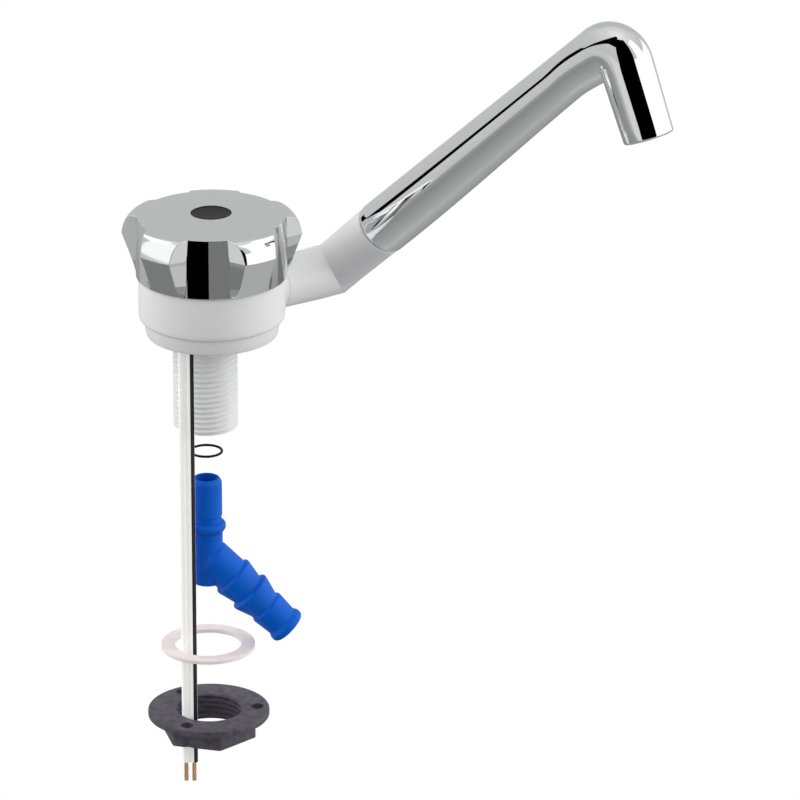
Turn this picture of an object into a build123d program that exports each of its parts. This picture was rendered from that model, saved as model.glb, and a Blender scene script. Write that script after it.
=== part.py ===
"""Cold water tap for a small sink: a turning knob over a swivelling body, a spout that folds on a side
arm, a threaded tail with its seal, hose connector, washer and nut hung below, and a switch with its cable.

Millimetres. Z = 0 is the underside of the foot, on the deck. The Z axis is the axis of knob and body.
"""

from build123d import *
import math
import os

os.makedirs("parts", exist_ok=True)

# Fits
running_gap = 0.05
seal_gap = 0.1
face_gap = 0.3
press_gap = 0.02

# Foot and column
foot_height = 6.0
foot_radius = 25.3
foot_base_radius = 24.2
foot_edge = 0.9
column_radius = 16.0
column_top = 22.0
water_groove_depth = 1.1
water_groove_half = 2.9
seal_radius = 1.0
lower_seal_z = 8.0
upper_seal_z = 19.4
slip_ring_inner = 21.5
slip_ring_outer = 24.2
slip_ring_recess = 0.5

# Tail
tail_offset = -2.7
tail_thread_radius = 12.0
thread_pitch = 2.0
thread_depth = 1.15
tail_length = 36.5
tail_plain_length = 2.6
tail_chamfer = 0.8
spigot_engagement = 18.6
water_bore_radius = 3.9
seat_height = 5.0

# Valve
cartridge_radius = 8.5
cartridge_top = 27.0
disc_radius = 6.9
disc_thickness = 2.4
inlet_seal_thickness = 2.0
port_radius = 1.9
port_offset = 3.6
port_angles = (20.0, 120.0, 290.0)
cartridge_port_share = 0.8
stem_radius = 3.6
stem_flat = 2.6
stem_top_gap = 2.0
stem_seal_radius = 0.45
stem_seal_z = 22.0
driver_height = 3.6

# Knob
knob_rim_z = 23.4
knob_rim_radius = 28.0
knob_core_radius = 27.9
knob_core_crease_z = 38.2
knob_core_top_radius = 26.9
knob_crease_radius = 33.5
knob_crease_z = 37.8
shoulder_low = (32.9, 41.5)
shoulder_high = (31.6, 45.2)
knob_edge_radius = 29.0
knob_top_z = 47.3
knob_blank_z = 48.0
dome_radius = 261.0
lobe_count = 5
first_lobe_angle = -55.4
lobe_inner = 20.0
lobe_root = (26.1, 9.5)
lobe_rim_corner = (28.8, 3.6)
lobe_top_corner = (36.0, 5.4)
knob_cavity_radius = 25.2
knob_cavity_shoulder = 38.0
knob_cavity_top = 43.6
knob_roof_radius = 20.0
knob_hub_radius = 7.4
knob_hub_z = 31.2
cap_radius = 7.55
cap_depth = 2.6
cap_flat_thickness = 2.0
cap_edge = 0.3
cap_rim = 1.2
knob_screw_radius = 1.6
knob_screw_head = 3.2
knob_screw_length = 10.0

# Swivel body
body_radius = 27.1
body_wall = 2.6
body_bottom = foot_height + face_gap
body_top = 23.0
body_roof = 2.2
body_edge_radius = 25.4
body_edge_height = 1.7
body_rib_height = 2.2
hub_wall = 3.0

# Side arm
arm_azimuth = 37.0
arm_height = 12.8
arm_radius = 9.8
arm_root_radius = 9.3
arm_collar_reach = 28.9
arm_reach = 55.2
arm_straight = 9.0
arm_spigot_radius = 5.5
arm_spigot_reach = 19.8
arm_bore_radius = 3.4
arm_seal_reaches = (21.6, 26.9)
arm_seal_section = 0.9
clip_reach = 23.0
clip_thickness = 1.0
clip_groove_depth = 1.1
clip_radius = arm_spigot_radius + 1.5

# Spout
spout_rise = 45.0
spout_lean = 15.0
spout_start = 29.0
spout_length = 166.4
spout_stations = (29.0, 65.0, 109.0, 131.0)
spout_radii = (10.35, 10.1, 9.4, 9.0)
spout_bore_end = 2.0
spout_end_radius = 9.9
spout_drop = 1.2
spout_edge = 1.6
bend_radius = 6.5
nozzle_drop = 69.0
nozzle_lean = 6.0
nozzle_length = 37.75
mouth_radius = 9.35
mouth_edge = 0.8
mouth_bore_radius = 7.4
socket_radius = 10.1
socket_spigot_radius = 7.9
socket_spigot_length = 16.0
liner_radius = 5.6
liner_wall = 1.0
liner_overlap = 4.0
liner_end_gap = 16.0
outlet_height = 9.0
outlet_recess = 1.6
outlet_wall = 1.4
outlet_rib = 0.9

# Switch and cable
cable_radius = 9.1
cable_angle = 213.0
core_radius = 1.45
core_spacing = 3.0
cable_slot_gap = 0.4
cable_end_z = -170.4
wire_radius = 0.85
wire_end_z = -178.2
cable_inner_top = 29.0
carrier_radius = 20.0
carrier_neck_radius = 15.4
carrier_z = body_top + face_gap
carrier_thickness = 2.0
carrier_face = carrier_z + carrier_thickness
carrier_screw_radius = 1.1
carrier_screw_reach = 12.2
carrier_screw_angles = (150.0, 330.0)
carrier_screw_length = 9.0
screw_head_height = 1.4
screw_slot_floor = 0.8
screw_slot_width = 0.6
screw_cross_length = 2.4
cam_base = 5.6
cam_rise = 1.2
cam_thickness = 2.6
cam_z = 28.2
switch_width = 13.0
switch_depth = 6.4
switch_height = 8.6
switch_reach = 9.4
switch_edge = 0.6
switch_hole_radius = 0.9
switch_hole_height = 1.7
switch_hole_share = 0.36
terminal_share = 0.3
plunger_radius = 1.1
plunger_length = 3.4
terminal_width = 2.8
terminal_length = 4.0
terminal_thickness = 0.5

# Parts hung below the tail
ring_z = -47.0
ring_radius = 5.85
ring_section = 0.47
spigot_radius = 5.75
spigot_top = -57.6
spigot_lead = 1.6
spigot_tip = 1.1
spigot_waist = 0.25
spigot_waist_top = 2.4
spigot_rib = 0.05
spigot_rib_z = 3.1
spigot_rib_top = 3.8
bead_top = -74.9
bead_radius = 7.3
bead_height = 3.8
connector_body_radius = 5.85
connector_bottom = -99.7
connector_bore = 4.2
barb_z = -88.0
barb_slope = 45.0
barb_length = 43.0
barb_root_radius = 7.1
barb_root_place = 2.0
barb_ridges = (13.2, 22.0, 31.0)
barb_ridge_radii = (8.2, 8.35, 7.0)
barb_valley_radii = (6.9, 6.35, 6.35)
barb_flat = 0.8
barb_end_radius = 7.2
barb_end_width = 2.4
washer_top = -124.5
washer_radius = 17.6
washer_hole = 12.55
washer_thickness = 1.5
washer_edge = 0.15
nut_top = -151.2
nut_flange_radius = 22.85
nut_flange_thickness = 2.6
nut_bottom = -161.2
nut_hex_across = 30.0
nut_hex_angle = 11.0
nut_thread_gap = 0.2
nut_hole_radius = 2.5
nut_hole_circle = 18.2
nut_hole_angle = 4.4
nut_edge = 0.5
nut_thread_lead = 0.4

# Directions of the arm, the spout and the nozzle
up = Vector(0, 0, 1)
arm_out = Vector(1, 0, 0).rotate(Axis.Z, arm_azimuth)
arm_side = Vector(1, 0, 0).rotate(Axis.Z, arm_azimuth - 90)
elbow = arm_out * arm_reach + up * arm_height


def lean_out(lean, rise):
    """A direction that leans along the arm and rises from its side."""
    across = arm_side * math.cos(math.radians(rise)) + up * math.sin(math.radians(rise))
    return arm_out * math.sin(math.radians(lean)) + across * math.cos(math.radians(lean))


spout_dir = lean_out(spout_lean, spout_rise)
nozzle_dir = lean_out(nozzle_lean, -nozzle_drop)
bend_axis = spout_dir.cross(nozzle_dir).normalized()
spout_inner = bend_axis.cross(spout_dir).normalized()
bend_turn = spout_dir.get_angle(nozzle_dir)
bend_setback = bend_radius * math.tan(math.radians(bend_turn / 2))
bend_corner = elbow + spout_dir * spout_length + spout_inner * spout_drop
bend_start = bend_corner - spout_dir * bend_setback
bend_end = bend_corner + nozzle_dir * bend_setback
bend_centre = bend_start + spout_inner * bend_radius
mouth = bend_corner + nozzle_dir * nozzle_length

# Places of the cable, on the tail's axis
tail_centre = Vector(tail_offset, 0, 0)
cable_out = Vector(1, 0, 0).rotate(Axis.Z, cable_angle)
cable_across = Vector(1, 0, 0).rotate(Axis.Z, cable_angle + 90)
cable_centre = tail_centre + cable_out * cable_radius


def cable_plane(height):
    """The cable's cross-section plane, with X across the two cores."""
    return Plane(cable_centre + up * height, x_dir=cable_across, z_dir=(0, 0, 1))


def arm_plane(reach):
    """The arm's cross-section plane at a distance from the body's axis."""
    return Plane(arm_out * reach + up * arm_height, x_dir=-arm_side, z_dir=arm_out)


def spout_plane(distance):
    """The spout's cross-section plane at a distance from the elbow."""
    return Plane(elbow + spout_dir * distance, x_dir=spout_inner, z_dir=spout_dir)


# Foot with its column and threaded tail, one white moulding
thread_turns = int((tail_length - tail_plain_length - tail_chamfer) / thread_pitch)
with BuildPart() as foot_tail:
    with BuildSketch(Plane.XZ):
        with BuildLine():
            foot_outline = Polyline(
                (0, 0),
                (foot_base_radius, 0),
                (foot_radius, foot_height),
                (column_radius, foot_height),
                (column_radius, column_top),
                (0, column_top),
                close=True,
            )
        make_face()
    revolve(axis=Axis.Z)
    foot_rim = foot_tail.edges().filter_by(GeomType.CIRCLE).group_by(Axis.Z)[0]
    fillet(foot_rim, foot_edge)
    with BuildSketch(Plane.XY.offset(foot_height)):
        Circle(slip_ring_outer + seal_gap)
        Circle(slip_ring_inner - seal_gap, mode=Mode.SUBTRACT)
    extrude(amount=-slip_ring_recess, mode=Mode.SUBTRACT)
    with BuildSketch(Plane(tail_centre, z_dir=(0, 0, -1))):
        Circle(tail_thread_radius)
    extrude(amount=tail_length)
    tail_end = foot_tail.edges().filter_by(GeomType.CIRCLE).group_by(Axis.Z)[0]
    chamfer(tail_end, tail_chamfer)
    tail_axis = Axis(tail_centre, (0, 0, 1))
    for turn in range(thread_turns):
        groove_z = -tail_plain_length - turn * thread_pitch
        with BuildSketch(Plane(tail_centre + up * groove_z, x_dir=(1, 0, 0), z_dir=(0, -1, 0))):
            with BuildLine():
                Polyline(
                    (tail_thread_radius + running_gap, 0),
                    (tail_thread_radius - thread_depth, -thread_pitch * 0.44),
                    (tail_thread_radius - thread_depth, -thread_pitch * 0.56),
                    (tail_thread_radius + running_gap, -thread_pitch),
                    close=True,
                )
            make_face()
        revolve(axis=tail_axis, mode=Mode.SUBTRACT)
    for seal_z in (lower_seal_z, upper_seal_z):
        with BuildSketch(Plane.XY.offset(seal_z - seal_radius - seal_gap)):
            Circle(column_radius + running_gap)
            Circle(column_radius - 2 * seal_radius, mode=Mode.SUBTRACT)
        extrude(amount=2 * (seal_radius + seal_gap), mode=Mode.SUBTRACT)
    with BuildSketch(Plane.XY.offset(arm_height - water_groove_half)):
        Circle(column_radius + running_gap)
        Circle(column_radius - water_groove_depth, mode=Mode.SUBTRACT)
    extrude(amount=2 * water_groove_half, mode=Mode.SUBTRACT)
    with BuildSketch(Plane.XY.offset(seat_height)):
        Circle(cartridge_radius + running_gap)
    extrude(amount=column_top, mode=Mode.SUBTRACT)
    with BuildSketch(Plane(tail_centre - up * tail_length, z_dir=(0, 0, 1))):
        Circle(water_bore_radius)
    extrude(amount=tail_length + seat_height + 1, mode=Mode.SUBTRACT)
    with BuildSketch(Plane(tail_centre - up * tail_length, z_dir=(0, 0, 1))):
        Circle(spigot_radius + seal_gap)
    extrude(amount=spigot_engagement, mode=Mode.SUBTRACT)
    with BuildSketch(Plane(tail_centre - up * tail_length, z_dir=(0, 0, 1))):
        Circle(ring_radius + 2 * ring_section + seal_gap)
    extrude(amount=2 * ring_section + seal_gap, mode=Mode.SUBTRACT)
    for port_angle in port_angles:
        with BuildSketch(Plane(up * arm_height, z_dir=Vector(1, 0, 0).rotate(Axis.Z, port_angle))):
            Circle(port_radius)
        extrude(amount=column_radius + 1, mode=Mode.SUBTRACT)
    with BuildSketch(cable_plane(-1)):
        SlotOverall(
            core_spacing + 2 * core_radius + 2 * cable_slot_gap,
            2 * core_radius + 2 * cable_slot_gap,
        )
    extrude(amount=column_top + 2, mode=Mode.SUBTRACT)
    with BuildSketch(cable_plane(-tail_length - 1)):
        slot_width = core_spacing + 2 * core_radius + 2 * cable_slot_gap
        slot_depth = tail_thread_radius
        slot_floor = core_radius + cable_slot_gap
        with Locations((0, -slot_depth / 2 + slot_floor)):
            Rectangle(slot_width, slot_depth)
    extrude(amount=tail_length + 1, mode=Mode.SUBTRACT)
    for screw_angle in carrier_screw_angles:
        screw_place = Vector(carrier_screw_reach, 0, column_top).rotate(Axis.Z, screw_angle)
        with BuildSketch(Plane(screw_place, z_dir=(0, 0, -1))):
            Circle(carrier_screw_radius + press_gap)
        extrude(amount=carrier_screw_length - (carrier_face - column_top) + face_gap, mode=Mode.SUBTRACT)
foot_tail.part.label = "foot_and_tail"
export_step(foot_tail.part, "parts/foot_and_tail.step")


# Slip ring that the swivel body turns on
with BuildPart() as slip_ring:
    with BuildSketch(Plane.XY.offset(foot_height - slip_ring_recess)):
        Circle(slip_ring_outer)
        Circle(slip_ring_inner, mode=Mode.SUBTRACT)
    extrude(amount=slip_ring_recess + face_gap)
slip_ring.part.label = "slip_ring"
export_step(slip_ring.part, "parts/slip_ring.step")


# Two rubber rings that seal the body on the column
with BuildPart() as column_seals:
    for seal_z in (lower_seal_z, upper_seal_z):
        with BuildSketch(Plane.XZ):
            with Locations((column_radius - seal_radius, seal_z)):
                Circle(seal_radius - press_gap)
        revolve(axis=Axis.Z)
column_seals.part.label = "column_seals"
export_step(column_seals.part, "parts/column_seals.step")


# Valve: inlet seal, fixed disc, turning disc, spindle and the cartridge round them
fixed_disc_z = seat_height + inlet_seal_thickness
turning_disc_z = fixed_disc_z + disc_thickness
driver_z = turning_disc_z + disc_thickness
with BuildPart() as inlet_seal:
    with BuildSketch(Plane.XY.offset(seat_height)):
        Circle(cartridge_radius - press_gap)
        Circle(cartridge_radius - 2.4, mode=Mode.SUBTRACT)
    extrude(amount=inlet_seal_thickness)
inlet_seal.part.label = "inlet_seal"
export_step(inlet_seal.part, "parts/inlet_seal.step")

with BuildPart() as fixed_disc:
    with BuildSketch(Plane.XY.offset(fixed_disc_z)):
        Circle(disc_radius)
        with Locations((-port_offset, 0)):
            Circle(port_radius, mode=Mode.SUBTRACT)
    extrude(amount=disc_thickness)
fixed_disc.part.label = "fixed_disc"
export_step(fixed_disc.part, "parts/fixed_disc.step")

with BuildPart() as turning_disc:
    with BuildSketch(Plane.XY.offset(turning_disc_z)):
        Circle(disc_radius - running_gap)
        with Locations((port_offset, 0)):
            Circle(port_radius, mode=Mode.SUBTRACT)
    extrude(amount=disc_thickness)
turning_disc.part.label = "turning_disc"
export_step(turning_disc.part, "parts/turning_disc.step")

with BuildPart() as cartridge:
    with BuildSketch(Plane.XY.offset(fixed_disc_z)):
        Circle(cartridge_radius)
    extrude(amount=cartridge_top - fixed_disc_z)
    with BuildSketch(Plane.XY.offset(fixed_disc_z)):
        Circle(disc_radius + running_gap)
    extrude(amount=driver_z + driver_height + face_gap - fixed_disc_z, mode=Mode.SUBTRACT)
    with BuildSketch(Plane.XY.offset(fixed_disc_z)):
        Circle(stem_radius + running_gap)
    extrude(amount=cartridge_top, mode=Mode.SUBTRACT)
    for port_angle in port_angles:
        with BuildSketch(Plane(up * arm_height, z_dir=Vector(1, 0, 0).rotate(Axis.Z, port_angle))):
            Circle(port_radius * cartridge_port_share)
        extrude(amount=cartridge_radius + 1, mode=Mode.SUBTRACT)
cartridge.part.label = "valve_cartridge"
export_step(cartridge.part, "parts/valve_cartridge.step")

stem_top = knob_cavity_top - stem_top_gap
with BuildPart() as spindle:
    with BuildSketch(Plane.XY.offset(driver_z)):
        Circle(disc_radius - 1.2)
        with Locations((port_offset, 0)):
            Circle(port_radius, mode=Mode.SUBTRACT)
    extrude(amount=driver_height)
    with BuildSketch(Plane.XY.offset(driver_z)):
        Circle(stem_radius)
    extrude(amount=stem_top - driver_z)
    with BuildSketch(Plane.XY.offset(knob_hub_z)):
        with Locations((0, stem_flat + stem_radius)):
            Rectangle(4 * stem_radius, 2 * stem_radius)
    extrude(amount=stem_top, mode=Mode.SUBTRACT)
    with BuildSketch(Plane.XY.offset(stem_top - knob_screw_length)):
        Circle(knob_screw_radius + press_gap)
    extrude(amount=knob_screw_length, mode=Mode.SUBTRACT)
    with BuildSketch(Plane.XY.offset(stem_seal_z - stem_seal_radius - running_gap)):
        Circle(stem_radius + running_gap)
        Circle(stem_radius - 2 * stem_seal_radius - running_gap, mode=Mode.SUBTRACT)
    extrude(amount=2 * (stem_seal_radius + running_gap), mode=Mode.SUBTRACT)
spindle.part.label = "spindle"
export_step(spindle.part, "parts/spindle.step")

with BuildPart() as spindle_seal:
    with BuildSketch(Plane.XZ):
        with Locations((stem_radius - stem_seal_radius, stem_seal_z)):
            Circle(stem_seal_radius)
    revolve(axis=Axis.Z)
spindle_seal.part.label = "spindle_seal"
export_step(spindle_seal.part, "parts/spindle_seal.step")


# Plate that holds the body down and carries the switch inside the knob
with BuildPart() as carrier:
    with BuildSketch(Plane.XY.offset(column_top)):
        Circle(carrier_neck_radius)
    extrude(amount=carrier_z + carrier_thickness - column_top)
    with BuildSketch(Plane.XY.offset(carrier_z)):
        Circle(carrier_radius)
    extrude(amount=carrier_thickness)
    with BuildSketch(Plane.XY.offset(column_top)):
        Circle(cartridge_radius + running_gap)
    extrude(amount=carrier_z, mode=Mode.SUBTRACT)
    with BuildSketch(cable_plane(column_top)):
        SlotOverall(
            core_spacing + 2 * core_radius + 2 * cable_slot_gap,
            2 * core_radius + 2 * cable_slot_gap,
        )
    extrude(amount=carrier_z, mode=Mode.SUBTRACT)
    for screw_angle in carrier_screw_angles:
        screw_place = Vector(carrier_screw_reach, 0, column_top).rotate(Axis.Z, screw_angle)
        with BuildSketch(Plane(screw_place, z_dir=(0, 0, 1))):
            Circle(carrier_screw_radius + running_gap)
        extrude(amount=carrier_z, mode=Mode.SUBTRACT)
carrier.part.label = "switch_carrier"
export_step(carrier.part, "parts/switch_carrier.step")

with BuildPart() as carrier_screws:
    for screw_angle in carrier_screw_angles:
        screw_place = Vector(carrier_screw_reach, 0, 0).rotate(Axis.Z, screw_angle)
        with BuildSketch(Plane(screw_place + up * carrier_face, z_dir=(0, 0, -1))):
            Circle(carrier_screw_radius)
        extrude(amount=carrier_screw_length)
        with BuildSketch(Plane(screw_place + up * carrier_face, z_dir=(0, 0, 1))):
            Circle(2 * carrier_screw_radius)
        extrude(amount=screw_head_height)
        with BuildSketch(Plane(screw_place + up * (carrier_face + screw_slot_floor), z_dir=(0, 0, 1))):
            Rectangle(5 * carrier_screw_radius, screw_slot_width)
            Rectangle(screw_slot_width, screw_cross_length)
        extrude(amount=1, mode=Mode.SUBTRACT)
carrier_screws.part.label = "carrier_screws"
export_step(carrier_screws.part, "parts/carrier_screws.step")


# Switch with its sprung plunger, worked by a cam on the spindle
switch_front = switch_reach
switch_centre_y = switch_front + switch_depth / 2
plunger_z = cam_z + cam_thickness / 2
plunger_hole_depth = plunger_length + 1.0
hole_place = switch_width * switch_hole_share
hole_z = carrier_face + switch_hole_height
with BuildPart() as switch:
    with BuildSketch(Plane.XY.offset(carrier_face)):
        with Locations((0, switch_centre_y)):
            Rectangle(switch_width, switch_depth)
    extrude(amount=switch_height)
    fillet(switch.edges().filter_by(Axis.Z), switch_edge)
    with BuildSketch(Plane((0, switch_front, plunger_z), z_dir=(0, 1, 0))):
        Circle(plunger_radius + running_gap)
    extrude(amount=plunger_hole_depth, mode=Mode.SUBTRACT)
    with BuildSketch(Plane((0, switch_front, 0), z_dir=(0, 1, 0))):
        with Locations((-hole_place, -hole_z), (hole_place, -hole_z)):
            Circle(switch_hole_radius)
    extrude(amount=switch_depth, mode=Mode.SUBTRACT)
switch.part.label = "microswitch"
export_step(switch.part, "parts/microswitch.step")

plunger_tip = cam_base + face_gap
with BuildPart() as plunger:
    with BuildSketch(Plane((0, plunger_tip, plunger_z), z_dir=(0, 1, 0))):
        Circle(plunger_radius)
    extrude(amount=switch_front - plunger_tip + plunger_hole_depth - cam_rise - 0.4)
    fillet(plunger.edges().filter_by(GeomType.CIRCLE).group_by(Axis.Y)[0], 0.7)
plunger.part.label = "switch_plunger"
export_step(plunger.part, "parts/switch_plunger.step")

terminal_places = (-switch_width * terminal_share, switch_width * terminal_share)
terminal_z = carrier_face + switch_height
with BuildPart() as terminals:
    for place in terminal_places:
        with BuildSketch(Plane.XY.offset(terminal_z)):
            with Locations((place, switch_centre_y)):
                Rectangle(terminal_width, terminal_thickness)
        extrude(amount=terminal_length)
terminals.part.label = "switch_terminals"
export_step(terminals.part, "parts/switch_terminals.step")

cam_points = 36
with BuildPart() as cam:
    with BuildSketch(Plane.XY.offset(cam_z)):
        with BuildLine():
            outline = []
            for step in range(cam_points):
                angle = 90 + step * 360 / cam_points
                turned = min(step, cam_points - step) * 360 / cam_points
                radius = cam_base + cam_rise * turned / 180
                outline.append(Vector(radius, 0).rotate(Axis.Z, angle))
            Polyline(*outline, close=True)
        make_face()
        Circle(stem_radius, mode=Mode.SUBTRACT)
    extrude(amount=cam_thickness)
cam.part.label = "switch_cam"
export_step(cam.part, "parts/switch_cam.step")


# Cable: two cores side by side, through foot and column to the switch
with BuildPart() as cable_inner:
    with BuildSketch(cable_plane(0)):
        with Locations((-core_spacing / 2, 0), (core_spacing / 2, 0)):
            Circle(core_radius)
        Rectangle(core_spacing, core_radius)
    extrude(amount=cable_inner_top)
cable_inner.part.label = "cable_in_body"
export_step(cable_inner.part, "parts/cable_in_body.step")

with BuildPart() as cable:
    with BuildSketch(cable_plane(cable_end_z)):
        with Locations((-core_spacing / 2, 0), (core_spacing / 2, 0)):
            Circle(core_radius)
        Rectangle(core_spacing, core_radius)
    extrude(amount=-cable_end_z)
cable.part.label = "cable"
export_step(cable.part, "parts/cable.step")

with BuildPart() as wires:
    with BuildSketch(cable_plane(wire_end_z)):
        with Locations((-core_spacing / 2, 0), (core_spacing / 2, 0)):
            Circle(wire_radius)
    extrude(amount=cable_end_z - wire_end_z)
wires.part.label = "bare_wire_ends"
export_step(wires.part, "parts/bare_wire_ends.step")

lead_radius = 0.75
lead_bend = 1.0
lead_clearance = 1.4
lead_detour = 3.4
terminal_top = terminal_z + terminal_length
with BuildPart() as leads:
    for side, place in ((-1, terminal_places[1]), (1, terminal_places[0])):
        start = cable_centre + cable_across * (side * core_spacing / 2) + up * cable_inner_top
        lead_z = terminal_top + (2 + side) * lead_clearance
        rise = Vector(start.X, start.Y, lead_z)
        around = Vector(-cable_radius - lead_detour, switch_front - lead_detour, lead_z)
        above = Vector(place, switch_centre_y, lead_z)
        finish = Vector(place, switch_centre_y, terminal_top)
        with BuildLine():
            lead_path = FilletPolyline(start, rise, around, above, finish, radius=lead_bend)
        with BuildSketch(Plane(start, z_dir=(0, 0, 1))):
            Circle(lead_radius)
        sweep(path=lead_path)
leads.part.label = "switch_leads"
export_step(leads.part, "parts/switch_leads.step")

clamp_width = 10.0
clamp_depth = 5.4
clamp_corner = 1.0
clamp_height = 2.4
with BuildPart() as clamp:
    with BuildSketch(cable_plane(carrier_face)):
        RectangleRounded(clamp_width, clamp_depth, clamp_corner)
        SlotOverall(
            core_spacing + 2 * core_radius + 2 * running_gap,
            2 * core_radius + 2 * running_gap,
            mode=Mode.SUBTRACT,
        )
    extrude(amount=clamp_height)
clamp.part.label = "cable_clamp"
export_step(clamp.part, "parts/cable_clamp.step")


# Knob: chromed shell with five lobes that widen upwards, and a groove between them at the front
dome_sweep = math.degrees(math.asin(knob_edge_radius / dome_radius))
with BuildPart() as knob:
    with BuildSketch(Plane.XZ):
        with BuildLine():
            Polyline(
                (0, knob_rim_z),
                (knob_core_radius, knob_rim_z),
                (knob_core_radius, knob_core_crease_z),
                (knob_core_top_radius, knob_blank_z),
                (0, knob_blank_z),
                close=True,
            )
        make_face()
    revolve(axis=Axis.Z)
    for lobe in range(lobe_count):
        outward = Vector(1, 0, 0).rotate(Axis.Z, first_lobe_angle + lobe * 360 / lobe_count)
        for (reach, half), height in (
            (lobe_rim_corner, knob_rim_z),
            (lobe_top_corner, knob_crease_z),
            (lobe_top_corner, knob_blank_z),
        ):
            with BuildSketch(Plane((0, 0, height), x_dir=outward, z_dir=(0, 0, 1))):
                with BuildLine():
                    Polyline(
                        (lobe_inner, -lobe_root[1]),
                        (lobe_root[0], -lobe_root[1]),
                        (reach, -half),
                        (reach, half),
                        (lobe_root[0], lobe_root[1]),
                        (lobe_inner, lobe_root[1]),
                        close=True,
                    )
                make_face()
        loft(ruled=True)
    with BuildSketch(Plane.XZ):
        with BuildLine():
            dome = CenterArc((0, knob_top_z - dome_radius), dome_radius, 90, -dome_sweep)
            Bezier(dome @ 1, shoulder_high, shoulder_low, (knob_crease_radius, knob_crease_z))
            Polyline(
                (knob_crease_radius, knob_crease_z),
                (knob_rim_radius, knob_rim_z),
                (0, knob_rim_z),
                dome @ 0,
            )
        make_face()
    revolve(axis=Axis.Z, mode=Mode.INTERSECT)
    with BuildSketch(Plane.XZ):
        with BuildLine():
            Polyline(
                (0, knob_rim_z),
                (knob_cavity_radius, knob_rim_z),
                (knob_cavity_radius, knob_cavity_shoulder),
                (knob_roof_radius, knob_cavity_top),
                (0, knob_cavity_top),
                close=True,
            )
        make_face()
    revolve(axis=Axis.Z, mode=Mode.SUBTRACT)
    with BuildSketch(Plane.XY.offset(knob_hub_z)):
        Circle(knob_hub_radius)
    extrude(amount=knob_cavity_top - knob_hub_z + 0.5)
    with BuildSketch(Plane.XY.offset(knob_hub_z)):
        Circle(stem_radius + running_gap)
        with Locations((0, stem_flat + stem_radius + running_gap)):
            Rectangle(4 * stem_radius, 2 * stem_radius, mode=Mode.SUBTRACT)
    extrude(amount=stem_top - knob_hub_z, mode=Mode.SUBTRACT)
    with BuildSketch(Plane.XY.offset(knob_hub_z)):
        Circle(knob_screw_radius + running_gap)
    extrude(amount=knob_top_z, mode=Mode.SUBTRACT)
    with BuildSketch(Plane.XY.offset(knob_top_z - cap_depth)):
        Circle(cap_radius + press_gap)
    extrude(amount=2 * cap_depth, mode=Mode.SUBTRACT)
knob.part.label = "knob"
export_step(knob.part, "parts/knob.step")

with BuildPart() as cap:
    with BuildSketch(Plane.XY.offset(knob_top_z)):
        Circle(cap_radius)
    extrude(amount=-cap_depth)
    fillet(cap.edges().group_by(Axis.Z)[-1], cap_edge)
    with BuildSketch(Plane.XY.offset(knob_top_z - cap_depth)):
        Circle(cap_radius - cap_rim)
    extrude(amount=cap_depth - cap_flat_thickness, mode=Mode.SUBTRACT)
cap.part.label = "knob_cap"
export_step(cap.part, "parts/knob_cap.step")

screw_seat = knob_top_z - cap_depth
with BuildPart() as knob_screw:
    with BuildSketch(Plane.XY.offset(screw_seat)):
        Circle(knob_screw_head)
    extrude(amount=cap_depth - cap_flat_thickness)
    with BuildSketch(Plane.XY.offset(screw_seat)):
        Circle(knob_screw_radius)
    extrude(amount=-knob_screw_length)
knob_screw.part.label = "knob_screw"
export_step(knob_screw.part, "parts/knob_screw.step")


# Swivel body: white shell with its hub and the socket for the arm
hub_radius = column_radius + running_gap + hub_wall
rib_inner = slip_ring_inner - 0.5
socket_bore = arm_spigot_radius + running_gap
with BuildPart() as body:
    with BuildSketch(Plane.XZ):
        with BuildLine():
            Polyline(
                (column_radius + running_gap, body_bottom),
                (hub_radius, body_bottom),
                (hub_radius, body_top - body_roof),
                (body_radius - body_wall, body_top - body_roof),
                (body_radius - body_wall, body_bottom + body_rib_height),
                (rib_inner, body_bottom + body_rib_height),
                (rib_inner, body_bottom),
                (body_edge_radius, body_bottom),
            )
            Bezier(
                (body_edge_radius, body_bottom),
                (body_radius - 0.5, body_bottom + 0.3),
                (body_radius, body_bottom + body_edge_height * 0.5),
                (body_radius, body_bottom + body_edge_height),
            )
            Polyline(
                (body_radius, body_bottom + body_edge_height),
                (body_radius, body_top),
                (column_radius + running_gap, body_top),
                (column_radius + running_gap, body_bottom),
            )
        make_face()
    revolve(axis=Axis.Z)
    with BuildSketch(arm_plane(hub_radius - 1)):
        Circle(arm_root_radius)
    extrude(amount=arm_collar_reach - hub_radius + 1)
    with BuildSketch(Plane.XY.offset(-1)):
        Circle(foot_radius + 2 * face_gap)
    extrude(amount=body_bottom + 1, mode=Mode.SUBTRACT)
    with BuildSketch(arm_plane(arm_spigot_reach - 0.2)):
        Circle(socket_bore)
    extrude(amount=arm_collar_reach, mode=Mode.SUBTRACT)
    with BuildSketch(arm_plane(column_radius - 1)):
        Circle(arm_bore_radius)
    extrude(amount=arm_collar_reach - column_radius, mode=Mode.SUBTRACT)
    with BuildSketch(arm_plane(clip_reach - clip_thickness / 2 - running_gap)):
        Circle(clip_radius + running_gap)
        with Locations((0, -arm_height / 2)):
            Rectangle(2 * (clip_radius + running_gap), arm_height)
    extrude(amount=clip_thickness + 2 * running_gap, mode=Mode.SUBTRACT)
body.part.label = "swivel_body"
export_step(body.part, "parts/swivel_body.step")


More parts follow.
